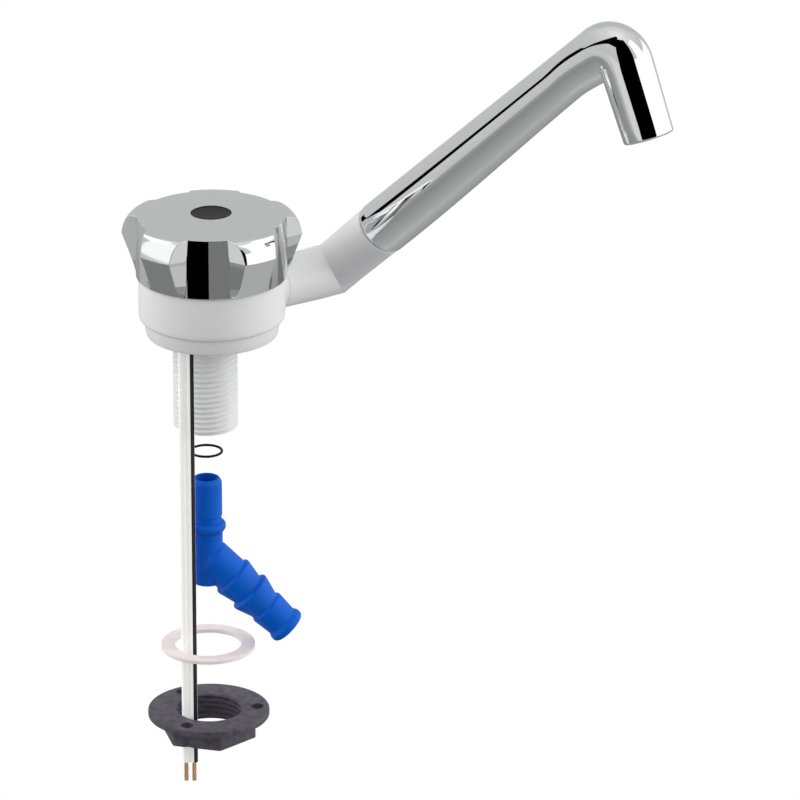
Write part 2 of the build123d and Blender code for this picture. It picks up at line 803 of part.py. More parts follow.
# Side arm with its elbow, one white moulding that turns in the body's socket
mitre_normal = (arm_out + spout_dir).normalized()
mitre = Plane(elbow, z_dir=mitre_normal)
with BuildPart() as arm:
    with BuildSketch(arm_plane(arm_collar_reach + face_gap)):
        Circle(arm_root_radius)
    with BuildSketch(arm_plane(arm_reach - arm_straight)):
        Circle(arm_radius)
    loft()
    with BuildSketch(arm_plane(arm_reach - arm_straight)):
        Circle(arm_radius)
    extrude(amount=2 * arm_straight)
    split(bisect_by=mitre, keep=Keep.BOTTOM)
    with BuildPart(mode=Mode.PRIVATE) as socket:
        with BuildSketch(spout_plane(arm_straight)):
            Circle(arm_radius)
        extrude(amount=-2 * arm_straight)
        split(bisect_by=mitre, keep=Keep.TOP)
        with BuildSketch(spout_plane(arm_straight)):
            Circle(arm_radius)
        with BuildSketch(spout_plane(spout_start)):
            Circle(socket_radius)
        loft()
    add(socket.part)
    with BuildSketch(spout_plane(spout_start)):
        Circle(socket_spigot_radius)
    extrude(amount=socket_spigot_length)
    with BuildSketch(arm_plane(arm_spigot_reach)):
        Circle(arm_spigot_radius)
    extrude(amount=arm_collar_reach + 1 - arm_spigot_reach)
    for reach in arm_seal_reaches:
        with BuildSketch(arm_plane(reach - arm_seal_section * 0.6)):
            Circle(arm_spigot_radius + 0.1)
            Circle(arm_spigot_radius - arm_seal_section, mode=Mode.SUBTRACT)
        extrude(amount=arm_seal_section * 1.2, mode=Mode.SUBTRACT)
    with BuildSketch(arm_plane(clip_reach - clip_thickness / 2 - seal_gap)):
        Circle(arm_spigot_radius + 0.1)
        Circle(arm_spigot_radius - clip_groove_depth, mode=Mode.SUBTRACT)
    extrude(amount=clip_thickness + 2 * seal_gap, mode=Mode.SUBTRACT)
    with BuildSketch(arm_plane(arm_spigot_reach)):
        Circle(arm_bore_radius)
    extrude(amount=arm_reach - arm_spigot_reach, mode=Mode.SUBTRACT)
    with BuildSketch(spout_plane(0)):
        Circle(arm_bore_radius)
    extrude(amount=spout_start + socket_spigot_length, mode=Mode.SUBTRACT)
    with BuildSketch(spout_plane(0)):
        with BuildLine():
            CenterArc((0, 0), arm_bore_radius, 0, 180)
            Line((-arm_bore_radius, 0), (arm_bore_radius, 0))
        make_face()
    revolve(axis=Axis(elbow, spout_inner), mode=Mode.SUBTRACT)
    with BuildSketch(spout_plane(spout_start + socket_spigot_length)):
        Circle(liner_radius + seal_gap)
    extrude(amount=-liner_overlap, mode=Mode.SUBTRACT)
arm.part.label = "side_arm"
export_step(arm.part, "parts/side_arm.step")

with BuildPart() as arm_seals:
    for reach in arm_seal_reaches:
        with BuildSketch(arm_plane(reach - arm_seal_section / 2)):
            Circle(arm_spigot_radius - running_gap)
            Circle(arm_spigot_radius - arm_seal_section, mode=Mode.SUBTRACT)
        extrude(amount=arm_seal_section)
arm_seals.part.label = "arm_seals"
export_step(arm_seals.part, "parts/arm_seals.step")

clip_bore = arm_spigot_radius - clip_groove_depth + seal_gap
with BuildPart() as arm_clip:
    with BuildSketch(arm_plane(clip_reach - clip_thickness / 2)):
        Circle(clip_radius)
        Circle(clip_bore, mode=Mode.SUBTRACT)
        with Locations((0, -arm_spigot_radius)):
            Rectangle(2 * clip_bore, 2 * arm_spigot_radius, mode=Mode.SUBTRACT)
        with Locations((0, -arm_spigot_radius * 2)):
            Rectangle(4 * arm_spigot_radius, 2 * arm_spigot_radius, mode=Mode.SUBTRACT)
    extrude(amount=clip_thickness)
arm_clip.part.label = "arm_clip"
export_step(arm_clip.part, "parts/arm_clip.step")


# Spout: chromed tube that bends down into the nozzle
bend_reach = 2 * (bend_radius + spout_end_radius)
with BuildPart() as spout:
    for distance, radius in zip(spout_stations, spout_radii):
        with BuildSketch(spout_plane(distance)):
            Circle(radius)
    with BuildSketch(Plane(bend_start, x_dir=spout_inner, z_dir=spout_dir)):
        Circle(spout_end_radius)
    loft()
    start_rim = spout.edges().group_by(Axis(elbow, spout_dir))[0]
    fillet(start_rim, spout_edge)
    with BuildSketch(Plane(bend_centre, x_dir=-spout_inner, z_dir=spout_dir)):
        with Locations((bend_radius, 0)):
            Circle(spout_end_radius)
        Rectangle(bend_reach, bend_reach, align=(Align.MIN, Align.CENTER), mode=Mode.INTERSECT)
    revolve(axis=Axis(bend_centre, bend_axis), revolution_arc=bend_turn)
    with BuildSketch(Plane(bend_end, z_dir=nozzle_dir)):
        Circle(spout_end_radius)
    with BuildSketch(Plane(mouth, z_dir=nozzle_dir)):
        Circle(mouth_radius)
    loft()
    mouth_rim = spout.edges().sort_by(lambda edge: (edge.center(CenterOf.MASS) - mouth).length)[0]
    fillet(mouth_rim, mouth_edge)
    with BuildSketch(spout_plane(spout_start)):
        Circle(socket_spigot_radius + running_gap)
    extrude(amount=socket_spigot_length + face_gap, mode=Mode.SUBTRACT)
    with BuildSketch(spout_plane(spout_start)):
        Circle(liner_radius + seal_gap)
    extrude(amount=spout_length - spout_start - spout_bore_end, mode=Mode.SUBTRACT)
    with BuildSketch(Plane(mouth, z_dir=-nozzle_dir)):
        Circle(mouth_bore_radius)
    extrude(amount=outlet_height + outlet_recess, mode=Mode.SUBTRACT)
    with BuildSketch(Plane(mouth, z_dir=-nozzle_dir)):
        Circle(liner_radius + seal_gap)
    extrude(amount=nozzle_length, mode=Mode.SUBTRACT)
spout.part.label = "spout"
export_step(spout.part, "parts/spout.step")

liner_start = spout_start + socket_spigot_length - liner_overlap
liner_end = spout_length - liner_end_gap
with BuildPart() as liner:
    with BuildSketch(spout_plane(liner_start)):
        Circle(liner_radius)
        Circle(liner_radius - liner_wall, mode=Mode.SUBTRACT)
    extrude(amount=liner_end - liner_start)
liner.part.label = "spout_liner"
export_step(liner.part, "parts/spout_liner.step")

outlet_plane = Plane(mouth - nozzle_dir * outlet_recess, z_dir=-nozzle_dir)
with BuildPart() as outlet:
    with BuildSketch(outlet_plane):
        Circle(mouth_bore_radius - press_gap)
        Circle(mouth_bore_radius - outlet_wall, mode=Mode.SUBTRACT)
    extrude(amount=outlet_height)
    with BuildSketch(outlet_plane.offset(outlet_height * 0.5)):
        Rectangle(2 * mouth_bore_radius - outlet_wall, outlet_rib)
        Rectangle(outlet_rib, 2 * mouth_bore_radius - outlet_wall)
    extrude(amount=outlet_height * 0.4)
outlet.part.label = "outlet_insert"
export_step(outlet.part, "parts/outlet_insert.step")


# Rubber ring, hose connector, washer and nut, hung below the tail
with BuildPart() as tail_ring:
    with BuildSketch(Plane(tail_centre, x_dir=(1, 0, 0), z_dir=(0, -1, 0))):
        with Locations((ring_radius, ring_z)):
            Circle(ring_section)
    revolve(axis=Axis(tail_centre, (0, 0, 1)))
tail_ring.part.label = "tail_o_ring"
export_step(tail_ring.part, "parts/tail_o_ring.step")

barb_dir = Vector(1, 0, 0).rotate(Axis.Y, barb_slope)
barb_start = tail_centre + up * barb_z
bead_middle = bead_top - bead_height / 2
with BuildPart() as connector:
    with BuildSketch(Plane(tail_centre, x_dir=(1, 0, 0), z_dir=(0, -1, 0))):
        with BuildLine():
            Polyline(
                (0, connector_bottom),
                (connector_body_radius, connector_bottom),
                (connector_body_radius, bead_top - bead_height),
            )
            ThreePointArc(
                (connector_body_radius, bead_top - bead_height),
                (bead_radius, bead_middle),
                (spigot_radius, bead_top),
            )
            Polyline(
                (spigot_radius, bead_top),
                (spigot_radius - spigot_waist, bead_top),
                (spigot_radius - spigot_waist, bead_top + spigot_waist_top),
                (spigot_radius, bead_top + spigot_waist_top),
                (spigot_radius + spigot_rib, bead_top + spigot_rib_z),
                (spigot_radius, bead_top + spigot_rib_top),
                (spigot_radius, spigot_top - spigot_lead),
                (spigot_radius - spigot_tip, spigot_top),
                (0, spigot_top),
                (0, connector_bottom),
            )
        make_face()
    revolve(axis=Axis(tail_centre, (0, 0, 1)))
    with BuildSketch(Plane(barb_start, x_dir=barb_dir, z_dir=(0, -1, 0))):
        with BuildLine():
            barb_outline = [(0, 0), (0, connector_body_radius), (barb_root_place, barb_root_radius)]
            entry = barb_root_radius
            for place, ridge, valley, following in zip(
                barb_ridges,
                barb_ridge_radii,
                barb_valley_radii,
                barb_ridges[1:] + (barb_length - barb_end_width,),
            ):
                barb_outline.append((place - barb_flat, entry))
                barb_outline.append((place, ridge))
                barb_outline.append((place + barb_flat, ridge))
                barb_outline.append((following - 2 * barb_flat, valley))
                entry = valley
            barb_outline.append((barb_length - barb_end_width, barb_end_radius))
            barb_outline.append((barb_length - barb_flat, barb_end_radius))
            barb_outline.append((barb_length, barb_end_radius - barb_flat))
            barb_outline.append((barb_length, 0))
            Polyline(*barb_outline, close=True)
        make_face()
    revolve(axis=Axis(barb_start, barb_dir))
    with BuildSketch(Plane(tail_centre + up * spigot_top, z_dir=(0, 0, -1))):
        Circle(connector_bore)
    extrude(amount=spigot_top - barb_z, mode=Mode.SUBTRACT)
    with BuildSketch(Plane(barb_start, z_dir=barb_dir)):
        Circle(connector_bore)
    extrude(amount=barb_length, mode=Mode.SUBTRACT)
connector.part.label = "hose_connector"
export_step(connector.part, "parts/hose_connector.step")

with BuildPart() as washer:
    with BuildSketch(Plane(tail_centre + up * washer_top, z_dir=(0, 0, -1))):
        Circle(washer_radius)
        Circle(washer_hole, mode=Mode.SUBTRACT)
    extrude(amount=washer_thickness)
    fillet(washer.edges().filter_by(GeomType.CIRCLE), washer_edge)
washer.part.label = "deck_washer"
export_step(washer.part, "parts/deck_washer.step")

nut_crest = tail_thread_radius + nut_thread_gap
nut_height = nut_top - nut_bottom
nut_turns = int(nut_height / thread_pitch)
with BuildPart() as nut:
    with BuildSketch(Plane(tail_centre + up * nut_top, z_dir=(0, 0, -1))):
        Circle(nut_flange_radius)
    extrude(amount=nut_flange_thickness)
    with BuildSketch(Plane(tail_centre + up * nut_bottom, x_dir=(1, 0, 0), z_dir=(0, 0, 1))):
        RegularPolygon(nut_hex_across / 2, 6, major_radius=False, rotation=nut_hex_angle + 30)
    extrude(amount=nut_height - nut_flange_thickness / 2)
    fillet(nut.edges().filter_by(GeomType.CIRCLE), nut_edge)
    with BuildSketch(Plane(tail_centre + up * nut_top, z_dir=(0, 0, -1))):
        Circle(nut_crest)
    extrude(amount=nut_height, mode=Mode.SUBTRACT)
    for turn in range(nut_turns):
        groove_z = nut_top - nut_thread_lead - turn * thread_pitch
        with BuildSketch(Plane(tail_centre + up * groove_z, x_dir=(1, 0, 0), z_dir=(0, -1, 0))):
            with BuildLine():
                Polyline(
                    (nut_crest - running_gap, 0),
                    (nut_crest + thread_depth * 0.8, -thread_pitch * 0.4),
                    (nut_crest + thread_depth * 0.8, -thread_pitch * 0.5),
                    (nut_crest - running_gap, -thread_pitch * 0.9),
                    close=True,
                )
            make_face()
        revolve(axis=tail_axis, mode=Mode.SUBTRACT)
    with BuildSketch(Plane(tail_centre + up * nut_top, x_dir=(1, 0, 0), z_dir=(0, 0, 1))):
        with PolarLocations(nut_hole_circle, 3, start_angle=nut_hole_angle):
            Circle(nut_hole_radius)
    extrude(amount=-nut_height, mode=Mode.SUBTRACT)
nut.part.label = "deck_nut"
export_step(nut.part, "parts/deck_nut.step")

cable_section = cable.part.volume / -cable_end_z
print("cable length", round(-cable_end_z, 1), "mm, straight, section", round(cable_section, 2), "mm2")
print("mouth centre", [round(v, 2) for v in mouth], "elbow", [round(v, 2) for v in elbow])
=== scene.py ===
"""Cold water tap: chromed knob and spout on white mouldings, with the parts of its fitting hung below the tail."""

import math

import bmesh
import bpy
from mathutils import Matrix, Vector


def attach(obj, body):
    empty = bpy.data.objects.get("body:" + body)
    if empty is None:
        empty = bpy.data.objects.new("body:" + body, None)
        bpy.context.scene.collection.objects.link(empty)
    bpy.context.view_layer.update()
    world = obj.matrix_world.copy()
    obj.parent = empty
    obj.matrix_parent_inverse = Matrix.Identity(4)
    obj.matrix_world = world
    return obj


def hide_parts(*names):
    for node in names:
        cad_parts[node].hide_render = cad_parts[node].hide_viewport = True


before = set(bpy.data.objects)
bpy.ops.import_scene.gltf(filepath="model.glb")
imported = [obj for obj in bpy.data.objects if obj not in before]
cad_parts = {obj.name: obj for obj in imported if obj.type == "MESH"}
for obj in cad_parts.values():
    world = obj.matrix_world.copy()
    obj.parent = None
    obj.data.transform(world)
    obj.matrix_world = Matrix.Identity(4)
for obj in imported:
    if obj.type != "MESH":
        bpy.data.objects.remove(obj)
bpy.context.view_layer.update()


# Camera: about 2.7 m in front of the tap and 21.5 degrees above it, with a long lens, so the picture is nearly flat.
# The target is the middle of the picture, to the right of the tap's own axis.
view_height = math.radians(21.5)
view_target = Vector((0.0693, 0, -0.0267))
view_distance = 2.7
camera_data = bpy.data.cameras.new("camera")
camera_data.sensor_width = 36
camera_data.lens = 328
camera_data.clip_start = 0.1
camera_data.clip_end = 20
camera = bpy.data.objects.new("camera", camera_data)
camera.location = view_target + view_distance * Vector((0, -math.cos(view_height), math.sin(view_height)))
camera.rotation_euler = (math.pi / 2 - view_height, 0, 0)
bpy.context.scene.collection.objects.link(camera)
bpy.context.scene.camera = camera


# Cable: two round white cores joined by a thin web, hanging straight from the foot beside the tail.
# Faces turned to the front along the right core's outer side are black. The stripped ends are seven twisted copper
# strands each.
# Sizes are in millimetres here and below, and mm turns them into metres.
mm = 0.001
tail_centre = Vector((-2.7, 0, 0)) * mm
cable_across = Vector((1, 0, 0))
cable_exit = Vector((-9.7, -6.52, 0)) * mm
core_radius = 1.43
core_spacing = 3.0
cable_end = -170.4
copper_end = -178.2


def verts_of(grown):
    return [item for item in grown if isinstance(item, bmesh.types.BMVert)]


def next_loop(grown, fresh):
    """The edges of an extrusion that lie wholly on its new points."""
    fresh = set(fresh)
    return [item for item in grown if isinstance(item, bmesh.types.BMEdge) and set(item.verts) <= fresh]


def new_piece(name, shape, body, material, replaced=(), sharp=32):
    """A finished bmesh becomes a smooth-shaded piece with crisp edges, riding on its body."""
    bmesh.ops.remove_doubles(shape, verts=shape.verts, dist=0.0005 * mm)
    bmesh.ops.dissolve_degenerate(shape, dist=0.0002 * mm, edges=shape.edges)
    bmesh.ops.recalc_face_normals(shape, faces=shape.faces)
    for face in shape.faces:
        face.smooth = True
    for edge in shape.edges:
        edge.smooth = edge.calc_face_angle(0) < math.radians(sharp)
    mesh = bpy.data.meshes.new(name)
    shape.to_mesh(mesh)
    shape.free()
    mesh.materials.append(material)
    made = bpy.data.objects.new(name, mesh)
    bpy.context.scene.collection.objects.link(made)
    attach(made, body)
    if replaced:
        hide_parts(*replaced)
    return made


def add_node(nodes, kind, **settings):
    """One shader node: a setting is a socket by its name, or else an attribute of the node."""
    node = nodes.new(kind)
    for setting, value in settings.items():
        socket = node.inputs.get(setting.replace("_", " "))
        if socket is not None:
            socket.default_value = value
        else:
            setattr(node, setting, value)
    return node


def group_sockets(group, inputs, outputs):
    for name, kind, value in inputs:
        group.interface.new_socket(name, in_out="INPUT", socket_type=kind).default_value = value
    for name, kind in outputs:
        group.interface.new_socket(name, in_out="OUTPUT", socket_type=kind)
    return group.nodes.new("NodeGroupInput"), group.nodes.new("NodeGroupOutput")


# Grain of a moulded or drawn surface: cloudy colour, uneven gloss and a fine height, used by every finish below.
grain = bpy.data.node_groups.new("surface_grain", "ShaderNodeTree")
grain_in, grain_out = group_sockets(
    grain,
    [
        ("Colour", "NodeSocketColor", (0.8, 0.8, 0.8, 1)),
        ("Shade", "NodeSocketFloat", 0.06),
        ("Gloss", "NodeSocketFloat", 0.4),
        ("Gloss Spread", "NodeSocketFloat", 0.1),
        ("Cloud Size", "NodeSocketFloat", 90.0),
        ("Grain Size", "NodeSocketFloat", 2500.0),
    ],
    [("Colour", "NodeSocketColor"), ("Roughness", "NodeSocketFloat"), ("Height", "NodeSocketFloat")],
)
place = add_node(grain.nodes, "ShaderNodeTexCoord")
cloud = add_node(grain.nodes, "ShaderNodeTexNoise", Detail=3.0)
speck = add_node(grain.nodes, "ShaderNodeTexNoise", Detail=2.0)
shade = add_node(grain.nodes, "ShaderNodeMapRange", From_Min=0.3, From_Max=0.7, To_Max=1.0)
darker = add_node(grain.nodes, "ShaderNodeMath", operation="SUBTRACT")
darker.inputs[0].default_value = 1.0
blended = add_node(grain.nodes, "ShaderNodeVectorMath", operation="SCALE")
spread = add_node(grain.nodes, "ShaderNodeMath", operation="MULTIPLY_ADD")
centred = add_node(grain.nodes, "ShaderNodeMath", operation="SUBTRACT")
centred.inputs[1].default_value = 0.5
for source, target in (
    (place.outputs["Object"], cloud.inputs["Vector"]),
    (place.outputs["Object"], speck.inputs["Vector"]),
    (grain_in.outputs["Cloud Size"], cloud.inputs["Scale"]),
    (grain_in.outputs["Grain Size"], speck.inputs["Scale"]),
    (cloud.outputs["Fac"], shade.inputs["Value"]),
    (grain_in.outputs["Shade"], shade.inputs["To Max"]),
    (shade.outputs["Result"], darker.inputs[1]),
    (grain_in.outputs["Colour"], blended.inputs[0]),
    (darker.outputs[0], blended.inputs["Scale"]),
    (cloud.outputs["Fac"], centred.inputs[0]),
    (centred.outputs[0], spread.inputs[0]),
    (grain_in.outputs["Gloss Spread"], spread.inputs[1]),
    (grain_in.outputs["Gloss"], spread.inputs[2]),
    (blended.outputs[0], grain_out.inputs["Colour"]),
    (spread.outputs[0], grain_out.inputs["Roughness"]),
    (speck.outputs["Fac"], grain_out.inputs["Height"]),
):
    grain.links.new(source, target)


def finish(name, colour, gloss, bump=0.0, edge=0.0, shade=0.06, spread=0.1, cloud=90.0, speck=2500.0, **shader):
    """A material on the shared grain. bump is the grain's height and edge the softened edge, both in millimetres."""
    material = bpy.data.materials.new(name)
    material.use_nodes = True
    nodes, links = material.node_tree.nodes, material.node_tree.links
    principled = nodes["Principled BSDF"]
    for setting, value in shader.items():
        principled.inputs[setting.replace("_", " ")].default_value = value
    surface = add_node(nodes, "ShaderNodeGroup", node_tree=grain)
    for setting, value in (
        ("Colour", (*colour, 1)),
        ("Shade", shade),
        ("Gloss", gloss),
        ("Gloss Spread", spread),
        ("Cloud Size", cloud),
        ("Grain Size", speck),
    ):
        surface.inputs[setting].default_value = value
    links.new(surface.outputs["Colour"], principled.inputs["Base Color"])
    links.new(surface.outputs["Roughness"], principled.inputs["Roughness"])
    relief = add_node(nodes, "ShaderNodeBump", Strength=1.0, Distance=bump * mm)
    links.new(surface.outputs["Height"], relief.inputs["Height"])
    links.new(relief.outputs["Normal"], principled.inputs["Normal"])
    if edge:
        rounded = add_node(nodes, "ShaderNodeBevel", samples=6, Radius=edge * mm)
        links.new(rounded.outputs["Normal"], relief.inputs["Normal"])
    return material


# The insulation glows faintly white through its emission: painted light that makes the cable and leads brighter than
# the studio lights make them.
glowing_insulation = finish("white_insulation_painted_glow", (0.92, 0.92, 0.91), 0.36, bump=0.004, shade=0.04, Emission_Strength=0.22)
glowing_insulation.node_tree.nodes["Principled BSDF"].inputs["Emission Color"].default_value = (1, 1, 1, 1)
front_black_band = finish("black_stripe", (0.012, 0.012, 0.013), 0.4, shade=0.2)
bare_copper = finish("bare_copper", (1.0, 0.72, 0.44), 0.4, bump=0.01, Metallic=1.0)

route_heights = (0, -55, -115, cable_end)
route = bpy.data.curves.new("cable_route", "CURVE")
route.dimensions = "3D"
line = route.splines.new("NURBS")
line.points.add(len(route_heights) - 1)
for point, height in zip(line.points, route_heights):
    point.co = (cable_exit.x, cable_exit.y, height * mm, 1)
line.order_u = 3
line.use_endpoint_u = True
route_object = bpy.data.objects.new("cable_route", route)
route_mesh = bpy.data.meshes.new_from_object(route_object)
route_points = [vertex.co.copy() for vertex in route_mesh.vertices]
bpy.data.objects.remove(route_object)
bpy.data.meshes.remove(route_mesh)

cable_shape = bmesh.new()
bmesh.ops.create_circle(cable_shape, segments=28, radius=core_radius * mm)
bmesh.ops.translate(cable_shape, verts=cable_shape.verts, vec=(core_spacing / 2 * mm, 0, 0))
web_reach = 0.22 * mm
inner = [vertex for vertex in cable_shape.verts if vertex.co.x < web_reach]
bmesh.ops.delete(cable_shape, geom=inner, context="VERTS")
bmesh.ops.mirror(cable_shape, geom=cable_shape.verts[:] + cable_shape.edges[:], axis="X", merge_dist=-1)
ends = sorted((v for v in cable_shape.verts if len(v.link_edges) == 1), key=lambda v: (v.co.y, v.co.x))
for pair in (ends[:2], ends[2:]):
    bmesh.ops.contextual_create(cable_shape, geom=pair)
bmesh.ops.translate(cable_shape, verts=cable_shape.verts, vec=route_points[0])
bmesh.ops.contextual_create(cable_shape, geom=cable_shape.edges[:])
loop = cable_shape.edges[:]
for earlier, later in zip(route_points, route_points[1:]):
    grown = bmesh.ops.extrude_edge_only(cable_shape, edges=loop)["geom"]
    fresh = verts_of(grown)
    bmesh.ops.translate(cable_shape, verts=fresh, vec=later - earlier)
    loop = next_loop(grown, fresh)
bmesh.ops.contextual_create(cable_shape, geom=loop)
cable = new_piece("twin_cable", cable_shape, "base", glowing_insulation, ["cable"])
cable.data.materials.append(front_black_band)
# Only faces that face the front (towards -Y) along the right core's outer side take the black material.
stripe_from, stripe_to = 1.5 * mm, 2.87 * mm
for face in cable.data.polygons:
    across = (face.center - cable_exit).dot(cable_across)
    if stripe_from < across < stripe_to and face.normal.y < 0 and abs(face.normal.z) < 0.5:
        face.material_index = 1

# The strands start half a millimetre up inside the white: one in the middle and six twisted round it.
strand_radius = 0.27
strand_circle = 0.56
strand_start = cable_end + 0.5
strand_turn = math.radians(150)
strand_steps = 10
drop = (copper_end - strand_start) / strand_steps * mm
copper_shape = bmesh.new()
for side in (-1, 1):
    core = cable_exit + cable_across * (side * core_spacing / 2 * mm)
    for strand in range(7):
        offset = strand_circle * mm if strand else 0
        start = Matrix.Translation(core + Vector((0, 0, strand_start * mm)))
        start = start @ Matrix.Rotation(strand * math.tau / 6, 4, "Z") @ Matrix.Translation((offset, 0, 0))
        made = bmesh.ops.create_circle(copper_shape, segments=8, radius=strand_radius * mm, cap_ends=True, matrix=start)
        disc = made["verts"][0].link_faces[0]
        bmesh.ops.spin(
            copper_shape,
            geom=[disc],
            cent=core,
            axis=(0, 0, 1),
            dvec=(0, 0, drop),
            angle=strand_turn,
            steps=strand_steps,
        )
copper_ends = new_piece("copper_ends", copper_shape, "base", bare_copper, ["bare_wire_ends"], sharp=50)


# Studio: a white backdrop, with soft light from both sides, a little more of it from the right and from above.
# What polished metal reflects is set by direction: pale walls, a grey floor, and white, grey and black cards.
panel = bpy.data.node_groups.new("studio_panel", "ShaderNodeTree")
panel_in, panel_out = group_sockets(
    panel,
    [
        ("Under", "NodeSocketFloat", 0.5),
        ("Azimuth", "NodeSocketFloat", 0.0),
        ("Elevation", "NodeSocketFloat", 0.0),
        ("Left", "NodeSocketFloat", 0.0),
        ("Right", "NodeSocketFloat", 0.0),
        ("Low", "NodeSocketFloat", 0.0),
        ("High", "NodeSocketFloat", 0.0),
        ("Soft", "NodeSocketFloat", 2.0),
        ("Strength", "NodeSocketFloat", 1.0),
    ],
    [("Light", "NodeSocketFloat")],
)
mask = None
for direction, limit, sign in (
    ("Azimuth", "Left", 1),
    ("Azimuth", "Right", -1),
    ("Elevation", "Low", 1),
    ("Elevation", "High", -1),
):
    apart = add_node(panel.nodes, "ShaderNodeMath", operation="SUBTRACT")
    first, second = (direction, limit) if sign > 0 else (limit, direction)
    panel.links.new(panel_in.outputs[first], apart.inputs[0])
    panel.links.new(panel_in.outputs[second], apart.inputs[1])
    share = add_node(panel.nodes, "ShaderNodeMath", operation="DIVIDE")
    panel.links.new(apart.outputs[0], share.inputs[0])
    panel.links.new(panel_in.outputs["Soft"], share.inputs[1])
    fade = add_node(panel.nodes, "ShaderNodeMapRange", interpolation_type="SMOOTHSTEP", From_Min=-0.5, From_Max=0.5)
    panel.links.new(share.outputs[0], fade.inputs["Value"])
    if mask is None:
        mask = fade.outputs["Result"]
    else:
        both = add_node(panel.nodes, "ShaderNodeMath", operation="MULTIPLY")
        panel.links.new(mask, both.inputs[0])
        panel.links.new(fade.outputs["Result"], both.inputs[1])
        mask = both.outputs[0]
over = add_node(panel.nodes, "ShaderNodeMix", data_type="FLOAT")
panel.links.new(mask, over.inputs["Factor"])
panel.links.new(panel_in.outputs["Under"], over.inputs["A"])
panel.links.new(panel_in.outputs["Strength"], over.inputs["B"])
panel.links.new(over.outputs["Result"], panel_out.inputs["Light"])

world = bpy.data.worlds.new("studio")
bpy.context.scene.world = world
world.use_nodes = True
studio, wires = world.node_tree.nodes, world.node_tree.links
studio.clear()
facing = add_node(studio, "ShaderNodeTexCoord")
parts_of = add_node(studio, "ShaderNodeSeparateXYZ")
wires.new(facing.outputs["Generated"], parts_of.inputs[0])


def world_math(operation, first, second=None):
    node = add_node(studio, "ShaderNodeMath", operation=operation)
    for socket, value in zip(node.inputs, (first, second)):
        if isinstance(value, bpy.types.NodeSocket):
            wires.new(value, socket)
        elif value is not None:
            socket.default_value = value
    return node.outputs[0]


towards_camera = world_math("MULTIPLY", parts_of.outputs["Y"], -1.0)
azimuth = world_math("DEGREES", world_math("ARCTAN2", parts_of.outputs["X"], towards_camera))
elevation = world_math("DEGREES", world_math("ARCSINE", parts_of.outputs["Z"]))
either_side = world_math("ABSOLUTE", azimuth)

studio_base = (
    (-90, 0.50),
    (-75, 0.40),
    (-50, 0.33),
    (-30, 0.27),
    (-20, 0.32),
    (-14, 0.57),
    (0, 0.60),
    (12, 0.56),
    (35, 0.60),
    (65, 0.72),
    (90, 0.90),
)
by_height = add_node(studio, "ShaderNodeMapRange", From_Min=-90.0, From_Max=90.0)
wires.new(elevation, by_height.inputs["Value"])
ramp = add_node(studio, "ShaderNodeValToRGB")
while len(ramp.color_ramp.elements) < len(studio_base):
    ramp.color_ramp.elements.new(0.5)
for stop, (height, strength) in zip(ramp.color_ramp.elements, studio_base):
    stop.position = (height + 90) / 180
    stop.color = (strength, strength, strength, 1)
wires.new(by_height.outputs["Result"], ramp.inputs["Fac"])

# The knob's finish is a perfect mirror and the spout's nearly one, so each can have cards of its own, as in a picture
# put together from several shots. A card that isn't for a ray is turned far out of its sight.
ray = add_node(studio, "ShaderNodeLightPath")
turned_away = 1000.0
out_of_sight = world_math("MULTIPLY", ray.outputs["Is Singular Ray"], turned_away)
spout_azimuth = world_math("ADD", azimuth, out_of_sight)
knob_azimuth = world_math("ADD", world_math("SUBTRACT", azimuth, turned_away), out_of_sight)

# azimuth from and to (0 is towards the camera, 90 to the right), elevation from and to, softness, strength
studio_panels = (
    (either_side, 148, 200, 3, 46, 14, 0.53),
    (spout_azimuth, 48, 92, -46, -14, 6, 0.48),
    (knob_azimuth, -140, -74, -36, -10, 4, 0.44),
    (knob_azimuth, -74, -61.5, -23.5, -12, 1.5, 0.66),
    (knob_azimuth, -66, -14, -48, -24, 3, 0.20),
    (knob_azimuth, 12, 58, -60, -23.5, 1.5, 0.55),
    (knob_azimuth, 58, 95, -46, -23.5, 3, 0.48),
    (knob_azimuth, 55, 95, -23.5, -8, 1.5, 0.66),
    (knob_azimuth, -140, -55, -64, -38, 6, 0.21),
    (knob_azimuth, 58, 140, -64, -38, 6, 0.42),
    (knob_azimuth, 122, 160, -32, -8, 5, 0.18),
    (azimuth, -50, -17, -17, 4, 5, 0.70),
    (spout_azimuth, 38, 138, -10, 24, 2, 1.15),
    (knob_azimuth, 44, 138, -8, 18, 3, 1.15),
    (knob_azimuth, -98, -44, -2, 60, 5, 1.05),
    (azimuth, 55, 95, 9, 62, 4, 1.20),
    (knob_azimuth, 90, 140, 36, 62, 5, 1.20),
    (knob_azimuth, -140, -90, 36, 62, 5, 1.20),
    (spout_azimuth, -26, 39, -12, 74, 1, 0.0),
    (knob_azimuth, -45, 46, -4, 40, 1, 0.0),
    (knob_azimuth, -36, -2.5, -28, -4, 0.6, 0.0),
    (knob_azimuth, -2.5, 36, -28, -4, 0.6, 0.19),
    (spout_azimuth, -128, -16, 3.5, 8.5, 0.6, 0.0),
)
light = ramp.outputs["Color"]
for direction, left, right, low, high, soft, strength in studio_panels:
    card = add_node(
        studio,
        "ShaderNodeGroup",
        node_tree=panel,
        Left=float(left),
        Right=float(right),
        Low=float(low),
        High=float(high),
        Soft=float(soft),
        Strength=strength,
    )
    wires.new(light, card.inputs["Under"])
    wires.new(direction, card.inputs["Azimuth"])
    wires.new(elevation, card.inputs["Elevation"])
    light = card.outputs["Light"]
# The last card is the black line along the spout, which rises and widens towards the front.
for edge, start, end in (("Low", 3.5, 42.0), ("High", 8.5, 82.0)):
    bent = add_node(studio, "ShaderNodeMapRange", interpolation_type="SMOOTHSTEP", From_Min=-92.0, From_Max=-45.0)
    bent.inputs["To Min"].default_value = start
    bent.inputs["To Max"].default_value = end
    wires.new(azimuth, bent.inputs["Value"])
    wires.new(bent.outputs["Result"], card.inputs[edge])

